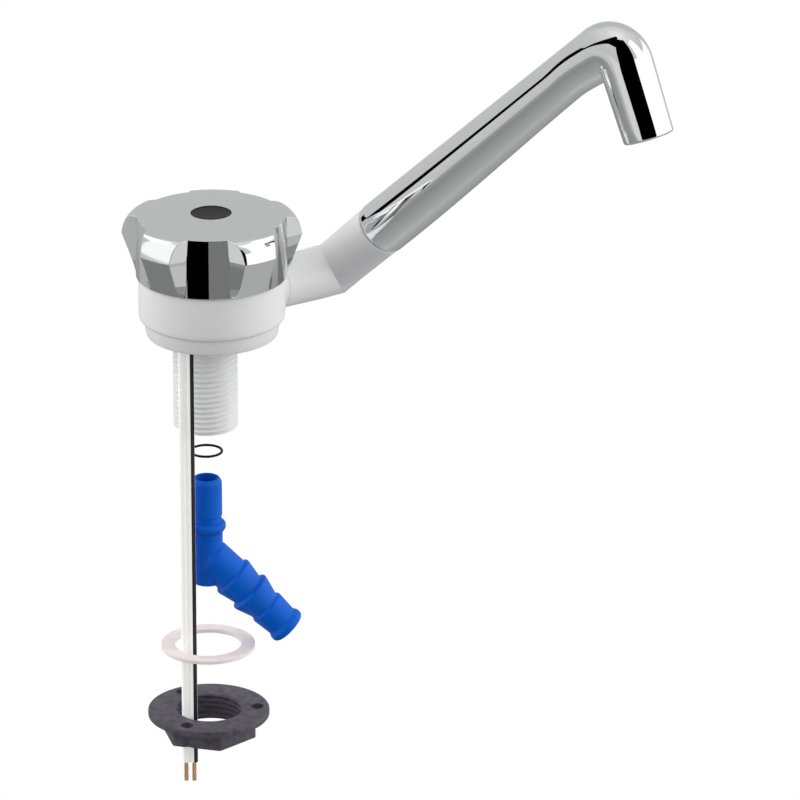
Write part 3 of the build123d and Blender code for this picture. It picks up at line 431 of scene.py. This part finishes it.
# Everything that isn't metal is lit by the sum of four soft lights.
side_strength, side_lean, top_strength, right_strength, even_strength = 1.66, 0.8, 0.5, 0.18, 0.065
side_light = world_math("POWER", world_math("ABSOLUTE", parts_of.outputs["X"]), 2.0)
lean = world_math("MULTIPLY_ADD", parts_of.outputs["Z"], side_lean)
lean.node.inputs[2].default_value = 1.0
side_light = world_math("MULTIPLY", world_math("MULTIPLY", side_light, side_strength), lean)
top_light = world_math("MULTIPLY", world_math("MAXIMUM", parts_of.outputs["Z"], 0.0), top_strength)
right_light = world_math("MULTIPLY", world_math("MAXIMUM", parts_of.outputs["X"], 0.0), right_strength)
soft_light = world_math("ADD", side_light, top_light)
soft_light = world_math("ADD", world_math("ADD", soft_light, right_light), even_strength)
for_metal = add_node(studio, "ShaderNodeMix", data_type="FLOAT")
wires.new(ray.outputs["Is Glossy Ray"], for_metal.inputs["Factor"])
wires.new(soft_light, for_metal.inputs["A"])
wires.new(light, for_metal.inputs["B"])
seen = add_node(studio, "ShaderNodeMix", data_type="FLOAT", B=1.0)
wires.new(ray.outputs["Is Camera Ray"], seen.inputs["Factor"])
wires.new(for_metal.outputs["Result"], seen.inputs["A"])
background = add_node(studio, "ShaderNodeBackground")
world_out = add_node(studio, "ShaderNodeOutputWorld")
wires.new(seen.outputs["Result"], background.inputs["Strength"])
wires.new(background.outputs[0], world_out.inputs["Surface"])
background.inputs["Color"].default_value = (1, 1, 1, 1)
bpy.context.scene.view_settings.view_transform = "Standard"

floor_shape = bmesh.new()
bmesh.ops.create_grid(floor_shape, x_segments=4, y_segments=4, size=3)
bmesh.ops.translate(floor_shape, verts=floor_shape.verts, vec=(0, 0, -0.4))
floor_mesh = bpy.data.meshes.new("floor")
floor_shape.to_mesh(floor_mesh)
floor_shape.free()
floor = bpy.data.objects.new("floor", floor_mesh)
bpy.context.scene.collection.objects.link(floor)
floor_paint = bpy.data.materials.new("floor_paint")
floor_paint.use_nodes = True
floor_nodes = floor_paint.node_tree.nodes
floor_nodes.clear()
glow = add_node(floor_nodes, "ShaderNodeEmission", Strength=1.0)
floor_out = add_node(floor_nodes, "ShaderNodeOutputMaterial")
floor_paint.node_tree.links.new(glow.outputs[0], floor_out.inputs["Surface"])
floor_mesh.materials.append(floor_paint)
floor.visible_diffuse = floor.visible_glossy = floor.visible_transmission = floor.visible_shadow = False


# Foot with its column and threaded tail: one moulding in white plastic. The foot stands on the deck, the column turns
# in the body, and the tail has a slot along its side in which the cable runs down.
white_plastic = finish("white_plastic", (0.86, 0.86, 0.865), 0.42, bump=0.006, shade=0.025, spread=0.08, edge=0.25)


def rounded_corners(shape, corners, reach, segments):
    bmesh.ops.bevel(
        shape,
        geom=corners,
        offset=reach * mm,
        offset_type="OFFSET",
        segments=segments,
        profile=0.5,
        affect="VERTICES",
        material=-1,
    )


def turned(outline, steps=96):
    """A round shape: an outline of (radius, height, rounding of the corner), spun about Z."""
    shape = bmesh.new()
    corners = [shape.verts.new((radius * mm, 0, height * mm)) for radius, height, *_ in outline]
    for first, second in zip(corners, corners[1:] + corners[:1]):
        if first.co.x + second.co.x > 0:
            shape.edges.new((first, second))
    for corner, (_, _, *rounding) in zip(corners, outline):
        if rounding:
            rounded_corners(shape, [corner], rounding[0], 4)
    bmesh.ops.spin(
        shape,
        geom=shape.verts[:] + shape.edges[:],
        cent=(0, 0, 0),
        axis=(0, 0, 1),
        angle=math.tau,
        steps=steps,
        use_merge=True,
    )
    bmesh.ops.remove_doubles(shape, verts=shape.verts, dist=0.0005 * mm)
    bmesh.ops.recalc_face_normals(shape, faces=shape.faces)
    return shape


def moved(shape, matrix):
    bmesh.ops.transform(shape, matrix=matrix, verts=shape.verts)
    return shape


def carved(shape, tool, operation):
    """Two closed shapes joined (UNION), cut (DIFFERENCE) or kept where they overlap (INTERSECT)."""
    work = []
    for part in (shape, tool):
        bmesh.ops.recalc_face_normals(part, faces=part.faces)
        mesh = bpy.data.meshes.new("work")
        part.to_mesh(mesh)
        part.free()
        work.append(bpy.data.objects.new("work", mesh))
        bpy.context.scene.collection.objects.link(work[-1])
    cut = work[0].modifiers.new("cut", "BOOLEAN")
    cut.operation = operation
    cut.solver = "EXACT"
    cut.object = work[1]
    bpy.context.view_layer.update()
    graph = bpy.context.evaluated_depsgraph_get()
    result = bpy.data.meshes.new_from_object(work[0].evaluated_get(graph))
    made = bmesh.new()
    made.from_mesh(result)
    for part in work:
        mesh = part.data
        bpy.data.objects.remove(part)
        bpy.data.meshes.remove(mesh)
    bpy.data.meshes.remove(result)
    bmesh.ops.remove_doubles(made, verts=made.verts, dist=0.0005 * mm)
    return made


def screw_thread(crest, depth, pitch, low, high, steps=64):
    """A threaded rod that runs past both ends, for cutting to length or for cutting a nut."""
    turns = math.ceil((high - low) / pitch) + 3
    shape = bmesh.new()
    bottom = low - 1.5 * pitch
    outline = [
        (crest - depth, 0.06),
        (crest, 0.40),
        (crest, 0.60),
        (crest - depth, 0.94),
        (crest - depth, 1.06),
    ]
    verts = [shape.verts.new((radius * mm, 0, (bottom + share * pitch) * mm)) for radius, share in outline]
    for first, second in zip(verts, verts[1:]):
        shape.edges.new((first, second))
    bmesh.ops.spin(
        shape,
        geom=shape.verts[:] + shape.edges[:],
        cent=(0, 0, 0),
        axis=(0, 0, 1),
        dvec=(0, 0, pitch / steps * mm),
        angle=turns * math.tau,
        steps=turns * steps,
    )
    bmesh.ops.remove_doubles(shape, verts=shape.verts, dist=0.001 * mm)
    bmesh.ops.holes_fill(shape, edges=[edge for edge in shape.edges if edge.is_boundary], sides=0)
    return shape


at_tail = Matrix.Translation(tail_centre)
tail_length = 36.5
tail_radius = 12.0
thread_pitch = 2.0
slot_round, slot_open, slot_top, slot_depth, slot_steps = 1.6, -14.0, 2.0, 42, 8
cable_slot = bmesh.new()
slot_outline = [(core_spacing / 2 + slot_round, slot_open)]
for side in (1, -1):
    for step in range(slot_steps + 1):
        turn = math.pi / 2 * (step / slot_steps if side > 0 else 1 + step / slot_steps)
        slot_outline.append((side * core_spacing / 2 + slot_round * math.cos(turn), slot_round * math.sin(turn)))
slot_outline.append((-core_spacing / 2 - slot_round, slot_open))
slot_place = cable_exit - tail_centre
slot_verts = [cable_slot.verts.new(Vector((x, y, slot_top)) * mm + slot_place) for x, y in slot_outline]
slot_face = cable_slot.faces.new(slot_verts)
slot_grown = bmesh.ops.extrude_face_region(cable_slot, geom=[slot_face])["geom"]
bmesh.ops.translate(cable_slot, verts=verts_of(slot_grown), vec=(0, 0, -slot_depth * mm))
tail_thread = carved(
    screw_thread(tail_radius, 1.15, thread_pitch, -tail_length, 0),
    turned([(0, 1), (tail_radius, 1), (tail_radius, -tail_length, 0.8), (0, -tail_length)], steps=72),
    "INTERSECT",
)
tail_neck = turned([(0, 1.2), (tail_radius, 1.2), (tail_radius, -2.4, 0.3), (0, -2.4)], steps=72)
tail_thread = carved(tail_thread, cable_slot.copy(), "DIFFERENCE")
tail_neck = carved(tail_neck, cable_slot, "DIFFERENCE")
tail = moved(carved(tail_thread, tail_neck, "UNION"), at_tail)
foot = turned(
    [
        (0, 0),
        (24.2, 0, 0.9),
        (25.3, 6.0, 0.35),
        (24.3, 6.0),
        (24.3, 5.5),
        (21.4, 5.5),
        (21.4, 6.0),
        (16.0, 6.0),
        (16.0, 6.9),
        (14.0, 6.9),
        (14.0, 9.1),
        (16.0, 9.1),
        (16.0, 9.9),
        (14.9, 9.9),
        (14.9, 15.7),
        (16.0, 15.7),
        (16.0, 18.3),
        (14.0, 18.3),
        (14.0, 20.5),
        (16.0, 20.5),
        (16.0, 22.0),
        (8.55, 22.0),
        (8.55, 5.0),
        (0, 5.0),
    ],
    steps=144,
)
foot_and_tail = carved(foot, tail, "UNION")
water_way = turned(
    [(0, 8), (3.9, 8), (3.9, -17.9), (5.85, -17.9), (5.85, -35.46), (6.89, -35.46), (6.89, -40), (0, -40)], steps=48
)
foot_and_tail = carved(foot_and_tail, moved(water_way, at_tail), "DIFFERENCE")
new_piece("foot_and_threaded_tail", foot_and_tail, "base", white_plastic, ["foot_and_tail"])


# Swivel body: white moulded shell that turns on the column, with a round socket at its side for the arm.
body_shell = turned(
    [
        (16.05, 6.08),
        (19.05, 6.08),
        (19.05, 20.8),
        (24.5, 20.8),
        (24.5, 8.5),
        (21.0, 8.5),
        (21.0, 6.08),
        (25.4, 6.08, 0.15),
        (26.8, 6.75, 0.6),
        (27.1, 8.2, 0.6),
        (27.1, 23.0, 0.4),
        (16.05, 23.0),
    ],
    steps=160,
)
arm_turn = math.radians(37)
arm_out = Vector((math.cos(arm_turn), math.sin(arm_turn), 0))
arm_side = Vector((math.sin(arm_turn), -math.cos(arm_turn), 0))
upward = Vector((0, 0, 1))
arm_height = 12.8 * upward


def along_arm(reach, radius=1.0):
    """The matrix that carries a circle of radius 1 to the arm's cross-section at that reach."""
    turn = Matrix((-arm_side, upward, arm_out)).transposed().to_4x4()
    centre = (arm_out * reach + arm_height) * mm
    return Matrix.Translation(centre) @ turn @ Matrix.Diagonal((radius * mm, radius * mm, radius * mm, 1))


def tube(places, segments=96):
    """A closed skin through rings, each the matrix that carries the unit circle to its place."""
    shape = bmesh.new()
    bmesh.ops.create_circle(shape, segments=segments, radius=1, matrix=places[0])
    loop = shape.edges[:]
    for earlier, later in zip(places, places[1:]):
        grown = bmesh.ops.extrude_edge_only(shape, edges=loop)["geom"]
        fresh = verts_of(grown)
        loop = next_loop(grown, fresh)
        bmesh.ops.transform(shape, matrix=later @ earlier.inverted(), verts=fresh)
    return shape


def capped(shape):
    bmesh.ops.holes_fill(shape, edges=[edge for edge in shape.edges if edge.is_boundary], sides=0)
    bmesh.ops.recalc_face_normals(shape, faces=shape.faces)
    return shape


arm_collar = capped(tube([along_arm(20, 9.3), along_arm(28.8, 9.3), along_arm(28.9, 9.2)]))
body_shell = carved(body_shell, arm_collar, "UNION")
arm_socket = capped(tube([along_arm(19.6, 5.55), along_arm(30, 5.55)]))
body_shell = carved(body_shell, arm_socket, "DIFFERENCE")
new_piece("turning_body", body_shell, "swivel_group", white_plastic, ["swivel_body"])


# Side arm: white moulding in two round lengths that meet in a mitred elbow. A sprung clip holds its spigot in the body,
# and the spout is pushed over its far end.
spout_rise, spout_lean = math.radians(45), math.radians(15)
across_arm = arm_side * math.cos(spout_rise) + upward * math.sin(spout_rise)
spout_dir = arm_out * math.sin(spout_lean) + across_arm * math.cos(spout_lean)
elbow = arm_out * 55.2 + arm_height
hinge = arm_out.cross(spout_dir).normalized()
mitre_normal = (arm_out + spout_dir).normalized()


def ring_at(centre, along, radius, across=hinge, stretch=1.0):
    """The matrix that carries the unit circle to a ring round `along`, stretched square to `across`."""
    turn = Matrix((across, along.cross(across), along)).transposed().to_4x4()
    scale = Matrix.Diagonal((radius * mm, radius * stretch * mm, radius * mm, 1))
    return Matrix.Translation(centre * mm) @ turn @ scale


arm_profile = (
    (19.8, 5.5),
    (21.06, 5.5),
    (21.06, 4.6),
    (22.14, 4.6),
    (22.14, 5.5),
    (22.4, 5.5),
    (22.4, 4.4),
    (23.6, 4.4),
    (23.6, 5.5),
    (26.36, 5.5),
    (26.36, 4.6),
    (27.44, 4.6),
    (27.44, 5.5),
    (28.95, 5.5),
    (28.95, 9.2),
    (29.05, 9.3),
    (46.2, 9.8),
)
socket_profile = ((9.0, 9.8), (28.6, 10.1), (29.0, 9.8), (29.0, 7.9), (45.0, 7.9))
mitre_stretch = 1 / math.cos(arm_out.angle(spout_dir) / 2)
arm_places = [ring_at(arm_out * reach + arm_height, arm_out, radius) for reach, radius in arm_profile]
arm_places.append(ring_at(elbow, mitre_normal, socket_profile[0][1], stretch=mitre_stretch))
arm_places += [ring_at(elbow + spout_dir * distance, spout_dir, radius) for distance, radius in socket_profile]
arm_shape = capped(tube(arm_places))
new_piece("side_arm_moulding", arm_shape, "spout_group", white_plastic, ["side_arm"], sharp=20)


# Spout: polished chrome tube, slightly waisted, that turns down at its end into a short nozzle.
# The inner corner of the bend is sharp, as the two lengths meet there in a mitre.
chrome = finish(
    "polished_chrome", (0.90, 0.905, 0.91), 0.022, bump=0.0, shade=0.02, spread=0.02, cloud=260.0, Metallic=1.0
)
nozzle_drop, nozzle_lean = math.radians(69), math.radians(6)
down_arm = arm_side * math.cos(nozzle_drop) - upward * math.sin(nozzle_drop)
nozzle_dir = arm_out * math.sin(nozzle_lean) + down_arm * math.cos(nozzle_lean)
bend_axis = spout_dir.cross(nozzle_dir).normalized()
spout_inner = bend_axis.cross(spout_dir).normalized()
nozzle_inner = bend_axis.cross(nozzle_dir).normalized()
spout_start, spout_length, nozzle_reach = 29.0, 166.4, 37.75
start_radius, bend_tube_radius, mouth_radius = 10.35, 9.9, 9.35
socket_bore, socket_bore_end, liner_bore, bend_bore, outlet_bore, outlet_depth = 7.95, 45.3, 5.7, 5.0, 7.4, 10.6
bend_radius = 6.5
bend_turn = spout_dir.angle(nozzle_dir)
half_turn = math.tan(bend_turn / 2)
bend_corner = elbow + spout_dir * spout_length + spout_inner * 1.2
bend_start = bend_corner - spout_dir * (bend_radius * half_turn)
bend_end = bend_corner + nozzle_dir * (bend_radius * half_turn)
bend_centre = bend_start + spout_inner * bend_radius
mouth = bend_corner + nozzle_dir * nozzle_reach
straight_end = (bend_start - elbow).length


def eased(share):
    share = min(max(share, 0.0), 1.0)
    return share * share * (3 - 2 * share)


def spout_radius(distance):
    """Radius of the straight length: it narrows gently and flares again just before the bend."""
    waist = 1.45 * eased((distance - 35.0) / 122.0)
    flare = 1.0 * eased((distance - 137.0) / (straight_end - 137.0))
    return start_radius - waist + flare


def spout_centre(distance):
    """The straight length's centre, which drifts so that the length's upper side stays straight."""
    share = (distance - spout_start) / (straight_end - spout_start)
    drift = spout_radius(distance) - start_radius + 1.65 * share
    return elbow + spout_dir * distance + spout_inner * drift


edge_round = 1.6
corner_steps = 6
spout_places = [ring_at(spout_centre(spout_start), spout_dir, socket_bore, bend_axis)]
for step in range(corner_steps + 1):
    turn = math.pi / 2 * step / corner_steps
    radius = spout_radius(spout_start + edge_round) - edge_round + edge_round * math.sin(turn)
    distance = spout_start + edge_round * (1 - math.cos(turn))
    spout_places.append(ring_at(spout_centre(distance), spout_dir, radius, bend_axis))
straight_steps = 40
for step in range(1, straight_steps + 1):
    distance = spout_start + edge_round + (straight_end - spout_start - edge_round) * step / straight_steps
    spout_places.append(ring_at(spout_centre(distance), spout_dir, spout_radius(distance), bend_axis))


def ring_in_bend(share, radius):
    turn = Matrix.Rotation(bend_turn * share, 3, bend_axis)
    return ring_at(bend_centre + turn @ (bend_start - bend_centre), turn @ spout_dir, radius, bend_axis)


bend_steps = 28
for step in range(1, bend_steps):
    spout_places.append(ring_in_bend(step / bend_steps, bend_tube_radius))
nozzle_length = (mouth - bend_end).length
mouth_round = 0.8
for share in (0, 0.1, 0.2, 0.3, 0.45, 0.6, 0.8):
    radius = bend_tube_radius - (bend_tube_radius - mouth_radius) * share
    spout_places.append(ring_at(bend_end + nozzle_dir * (nozzle_length * share), nozzle_dir, radius, bend_axis))
for step in range(corner_steps + 1):
    turn = math.pi / 2 * step / corner_steps
    radius = mouth_radius - mouth_round + mouth_round * math.cos(turn)
    lip = mouth - nozzle_dir * (mouth_round * (1 - math.sin(turn)))
    spout_places.append(ring_at(lip, nozzle_dir, radius, bend_axis))
mouth_chamfer = 0.3
spout_places += [
    ring_at(mouth, nozzle_dir, outlet_bore + mouth_chamfer, bend_axis),
    ring_at(mouth - nozzle_dir * mouth_chamfer, nozzle_dir, outlet_bore, bend_axis),
    ring_at(mouth - nozzle_dir * outlet_depth, nozzle_dir, outlet_bore, bend_axis),
    ring_at(mouth - nozzle_dir * outlet_depth, nozzle_dir, bend_bore, bend_axis),
    ring_at(bend_end, nozzle_dir, bend_bore, bend_axis),
]
for step in range(1, 8):
    spout_places.append(ring_in_bend(1 - step / 8, bend_bore))
spout_places += [
    ring_at(bend_start, spout_dir, bend_bore, bend_axis),
    ring_at(elbow + spout_dir * 146.5 + spout_inner * 0.9, spout_dir, liner_bore, bend_axis),
    ring_at(elbow + spout_dir * socket_bore_end, spout_dir, liner_bore, bend_axis),
    ring_at(elbow + spout_dir * socket_bore_end, spout_dir, socket_bore, bend_axis),
    ring_at(spout_centre(spout_start), spout_dir, socket_bore, bend_axis),
]
spout_segments = 128
spout_shape = tube(spout_places, segments=spout_segments)
# Past the bend's axis both lengths stop at the mitre plane, so that they meet in one sharp inner corner.
in_line = 0.99999
for number, vertex in enumerate(spout_shape.verts):
    place = spout_places[number // spout_segments]
    along, inner = place.col[2].xyz.normalized(), -place.col[1].xyz.normalized()
    offset = vertex.co / mm - bend_centre
    past = offset.dot(inner)
    if past <= 0:
        continue
    if along.dot(spout_dir) > in_line:
        vertex.co += spout_dir * (min(0, -past * half_turn - offset.dot(spout_dir)) * mm)
    elif along.dot(nozzle_dir) > in_line:
        vertex.co += nozzle_dir * (max(0, past * half_turn - offset.dot(nozzle_dir)) * mm)
    else:
        corner = spout_inner * past - spout_dir * (past * half_turn) + bend_axis * offset.dot(bend_axis)
        vertex.co = (bend_centre + corner) * mm
new_piece("chromed_spout", spout_shape, "spout_group", chrome, ["spout"], sharp=40)


# Knob: chromed plastic shell, pushed on the spindle. Five lobes widen upwards and roll over into a slightly domed
# top, with a groove between each two, one of them at the front. A black disc closes the screw hole.
knob_chrome = finish(
    "knob_chrome",
    (0.90, 0.905, 0.91),
    0.0,
    bump=0.0,
    shade=0.02,
    spread=0.0,
    cloud=260.0,
    edge=0.35,
    Metallic=1.0,
)
knob_steps = 240
knob_rim, blank_top = 23.4, 48.0
core_outline = [(0, knob_rim), (27.9, knob_rim), (27.9, 38.2), (26.9, blank_top), (0, blank_top)]
knob_shape = turned(core_outline, steps=knob_steps)
# Each level of a lobe: how far it reaches, half its width there, and its height.
lobe_levels = ((28.8, 3.6, knob_rim), (36.0, 5.4, 37.8), (36.0, 5.4, blank_top))
lobe_inner, lobe_root = 20.0, (26.1, 9.5)
lobe_count, first_lobe = 5, -55.4
for lobe in range(lobe_count):
    lobe_shape = bmesh.new()
    loops = []
    for reach, half, height in lobe_levels:
        one_side = [(lobe_inner, lobe_root[1]), lobe_root, (reach, half)]
        corners = one_side + [(x, -y) for x, y in reversed(one_side)]
        verts = [lobe_shape.verts.new(Vector((x, y, height)) * mm) for x, y in corners]
        loops.append([lobe_shape.edges.new(pair) for pair in zip(verts, verts[1:] + verts[:1])])
    for lower, upper in zip(loops, loops[1:]):
        bmesh.ops.bridge_loops(lobe_shape, edges=lower + upper)
    bmesh.ops.subdivide_edges(
        lobe_shape,
        edges=[edge for edge in lobe_shape.edges if abs(edge.verts[0].co.z - edge.verts[1].co.z) > mm],
        cuts=23,
    )
    for loop in (loops[0], loops[-1]):
        bmesh.ops.contextual_create(lobe_shape, geom=loop)
    moved(lobe_shape, Matrix.Rotation(math.radians(first_lobe + lobe * 360 / lobe_count), 4, "Z"))
    knob_shape = carved(knob_shape, lobe_shape, "UNION")
dome_radius, dome_top, dome_edge = 261.0, 47.3, 29.0


def dome_height(radius):
    return dome_top - dome_radius + math.sqrt(dome_radius**2 - radius**2)


# The shoulder is a curve with four handles, from the crease up to the dome's edge.
blank_outline = [(0, knob_rim), (28.0, knob_rim)]
shoulder = (
    Vector((33.5, 37.8)),
    Vector((32.9, 41.5)),
    Vector((31.6, 45.2)),
    Vector((dome_edge, dome_height(dome_edge))),
)
curve_steps = 20
for step in range(curve_steps + 1):
    share = step / curve_steps
    rest = 1 - share
    point = (
        shoulder[0] * rest**3
        + shoulder[1] * (3 * rest**2 * share)
        + shoulder[2] * (3 * rest * share**2)
        + shoulder[3] * share**3
    )
    blank_outline.append(tuple(point))
for step in range(1, curve_steps + 1):
    radius = dome_edge * (1 - step / curve_steps)
    blank_outline.append((radius, dome_height(radius)))
knob_shape = carved(knob_shape, turned(blank_outline, steps=knob_steps), "INTERSECT")
cavity = turned([(0, 20), (25.2, 20), (25.2, 38.0), (20.0, 43.6), (7.4, 43.6), (7.4, 31.2), (0, 31.2)], steps=96)
knob_shape = carved(knob_shape, cavity, "DIFFERENCE")
cap_seat = turned([(0, 44.7), (7.57, 44.7), (7.57, 50), (0, 50)], steps=72)
knob_shape = carved(knob_shape, cap_seat, "DIFFERENCE")
new_piece("chromed_knob", knob_shape, "knob_group", knob_chrome, ["knob"], sharp=12)

cap_black = finish("cap_black", (0.012, 0.012, 0.012), 0.34, bump=0.01, shade=0.2, edge=0.1, Specular_IOR_Level=0.1)
cap_shape = turned(
    [
        (0, 45.3),
        (6.35, 45.3),
        (6.35, 44.7),
        (7.55, 44.7),
        (7.55, 47.3, 0.3),
        (6.7, 47.3, 0.12),
        (6.5, 47.12, 0.12),
        (0, 47.16),
    ],
    steps=72,
)
new_piece("knob_disc", cap_shape, "knob_group", cap_black, ["knob_cap"])


# Rubber ring that seals the hose connector in the tail: a thin black cord moulded in a circle.
rubber = finish("black_rubber", (0.008, 0.008, 0.008), 0.5, bump=0.006, shade=0.3, Specular_IOR_Level=0.15)
ring_radius, ring_height, cord_radius, cord_points = 5.85, -47.0, 0.47, 14
ring_outline = []
for step in range(cord_points):
    turn = math.tau * step / cord_points
    ring_outline.append((ring_radius + cord_radius * math.cos(turn), ring_height + cord_radius * math.sin(turn)))
ring_shape = moved(turned(ring_outline, steps=80), at_tail)
new_piece("sealing_ring", ring_shape, "ring_group", rubber, ["tail_o_ring"])


# Hose connector: one blue plastic moulding. Its plain spigot goes up into the tail, and the stepped barb leaves at
# 45 degrees for the hose.
blue_plastic = finish(
    "blue_plastic", (0.0, 0.12, 0.66), 0.42, bump=0.012, shade=0.12, spread=0.12, edge=0.2, Specular_IOR_Level=0.14
)
spigot = turned(
    [
        (0, -99.7),
        (5.85, -99.7, 1.2),
        (5.85, -78.9, 0.3),
        (7.05, -77.9, 0.8),
        (7.1, -75.7, 0.8),
        (5.9, -74.95, 0.3),
        (5.5, -74.95),
        (5.5, -72.5),
        (5.75, -72.4, 0.15),
        (5.8, -71.8, 0.2),
        (5.75, -71.1, 0.3),
        (5.75, -59.2, 0.4),
        (4.75, -57.6, 0.25),
        (0, -57.6),
    ],
    steps=96,
)
barb = turned(
    [
        (0, 0),
        (5.85, 0),
        (7.1, 2.0, 0.6),
        (7.1, 12.4, 0.2),
        (8.2, 13.2, 0.35),
        (8.2, 14.0, 0.5),
        (6.9, 20.4, 0.5),
        (6.9, 21.2, 0.2),
        (8.35, 22.0, 0.35),
        (8.35, 22.8, 0.5),
        (6.35, 29.4, 0.5),
        (6.35, 30.2, 0.2),
        (7.0, 31.0, 0.25),
        (7.0, 31.8, 0.4),
        (6.35, 39.0, 0.4),
        (7.2, 40.6, 0.3),
        (7.2, 42.2, 0.4),
        (6.4, 43.0, 0.3),
        (0, 43.0),
    ],
    steps=96,
)
barb_height, hose_bore = -88.0, 4.2
barb_place = Matrix.Translation((0, 0, barb_height * mm)) @ Matrix.Rotation(math.radians(135), 4, "Y")
connector = carved(spigot, moved(barb, barb_place), "UNION")
bore_down = turned([(0, -50), (hose_bore, -50), (hose_bore, barb_height), (0, barb_height)], steps=48)
bore_out = turned([(0, -3), (hose_bore, -3), (hose_bore, 50), (0, 50)], steps=48)
connector = carved(connector, carved(bore_down, moved(bore_out, barb_place), "UNION"), "DIFFERENCE")
new_piece(
    "hose_elbow",
    moved(connector, at_tail),
    "connector_group",
    blue_plastic,
    ["hose_connector"],
)


# Washer: flat punched ring of pale pressed fibre that goes between the deck and the nut.
washer_fibre = finish(
    "washer_fibre", (0.96, 0.87, 0.84), 0.7, bump=0.03, shade=0.07, spread=0.2, cloud=260.0, speck=1200.0
)
washer_shape = turned(
    [(12.55, -124.5, 0.2), (17.6, -124.5, 0.25), (17.6, -126.0, 0.2), (12.55, -126.0, 0.2)], steps=120
)
new_piece(
    "fibre_washer",
    moved(washer_shape, at_tail),
    "washer_group",
    washer_fibre,
    ["deck_washer"],
)


# Nut: dark glass-filled plastic, a thin round flange with three screw holes over a hexagon, threaded to suit the tail.
nut_plastic = finish(
    "nut_plastic",
    (0.104, 0.090, 0.122),
    0.5,
    bump=0.03,
    shade=0.45,
    spread=0.25,
    cloud=420.0,
    speck=1800.0,
    edge=0.25,
)
nut_top, nut_bottom, hexagon_top, hexagon_flat, hexagon_turn = -151.2, -161.2, -153.0, 16.0, 14.5
flange = turned([(0, nut_top), (22.85, nut_top, 0.6), (22.85, -153.8, 0.6), (0, -153.8)], steps=144)
hexagon = bmesh.new()
bmesh.ops.create_circle(
    hexagon,
    cap_ends=True,
    segments=6,
    radius=hexagon_flat / math.cos(math.pi / 6) * mm,
    matrix=Matrix.Translation((0, 0, hexagon_top * mm)) @ Matrix.Rotation(math.radians(hexagon_turn), 4, "Z"),
)
rounded_corners(hexagon, hexagon.verts[:], 0.8, 3)
pulled = bmesh.ops.extrude_face_region(hexagon, geom=hexagon.faces[:])["geom"]
bmesh.ops.translate(hexagon, verts=verts_of(pulled), vec=(0, 0, (nut_bottom - hexagon_top) * mm))
nut_shape = carved(flange, hexagon, "UNION")
nut_shape = carved(nut_shape, screw_thread(13.1, 0.9, thread_pitch, nut_bottom, nut_top), "DIFFERENCE")
hole_count, hole_turn, hole_circle, hole_radius = 3, 4.4, 18.2, 2.5
for hole in range(hole_count):
    turn = math.radians(hole_turn + hole * 360 / hole_count)
    drill = turned([(0, -150), (hole_radius, -150), (hole_radius, -163), (0, -163)], steps=32)
    moved(drill, Matrix.Translation((hole_circle * mm * math.cos(turn), hole_circle * mm * math.sin(turn), 0)))
    nut_shape = carved(nut_shape, drill, "DIFFERENCE")
new_piece(
    "flanged_nut",
    moved(nut_shape, at_tail),
    "nut_group",
    nut_plastic,
    ["deck_nut"],
)


# Works inside body and knob, which keep their own shapes: valve, switch, seals and fastenings.
ceramic = finish("white_ceramic", (0.78, 0.76, 0.72), 0.2, bump=0.002, shade=0.05)
brass = finish("turned_brass", (0.80, 0.62, 0.30), 0.3, bump=0.006, shade=0.1, Metallic=1.0)
steel = finish("bright_steel", (0.66, 0.67, 0.69), 0.28, bump=0.006, shade=0.1, Metallic=1.0)
grey_plastic = finish("grey_plastic", (0.34, 0.35, 0.36), 0.5, bump=0.01, shade=0.1)
black_plastic = finish("black_plastic", (0.02, 0.02, 0.022), 0.45, bump=0.01, shade=0.2)
inner_finishes = (
    (rubber, ("inlet_seal", "spindle_seal", "column_seals", "arm_seals")),
    (ceramic, ("fixed_disc", "turning_disc")),
    (brass, ("valve_cartridge", "spindle", "switch_terminals")),
    (steel, ("knob_screw", "carrier_screws", "arm_clip")),
    (grey_plastic, ("switch_carrier", "spout_liner")),
    (white_plastic, ("slip_ring",)),
    (black_plastic, ("microswitch", "switch_plunger", "switch_cam", "cable_clamp", "outlet_insert")),
    (glowing_insulation, ("switch_leads", "cable_in_body")),
)
for material, nodes_inside in inner_finishes:
    for node in nodes_inside:
        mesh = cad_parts[node].data
        mesh.materials.clear()
        mesh.materials.append(material)
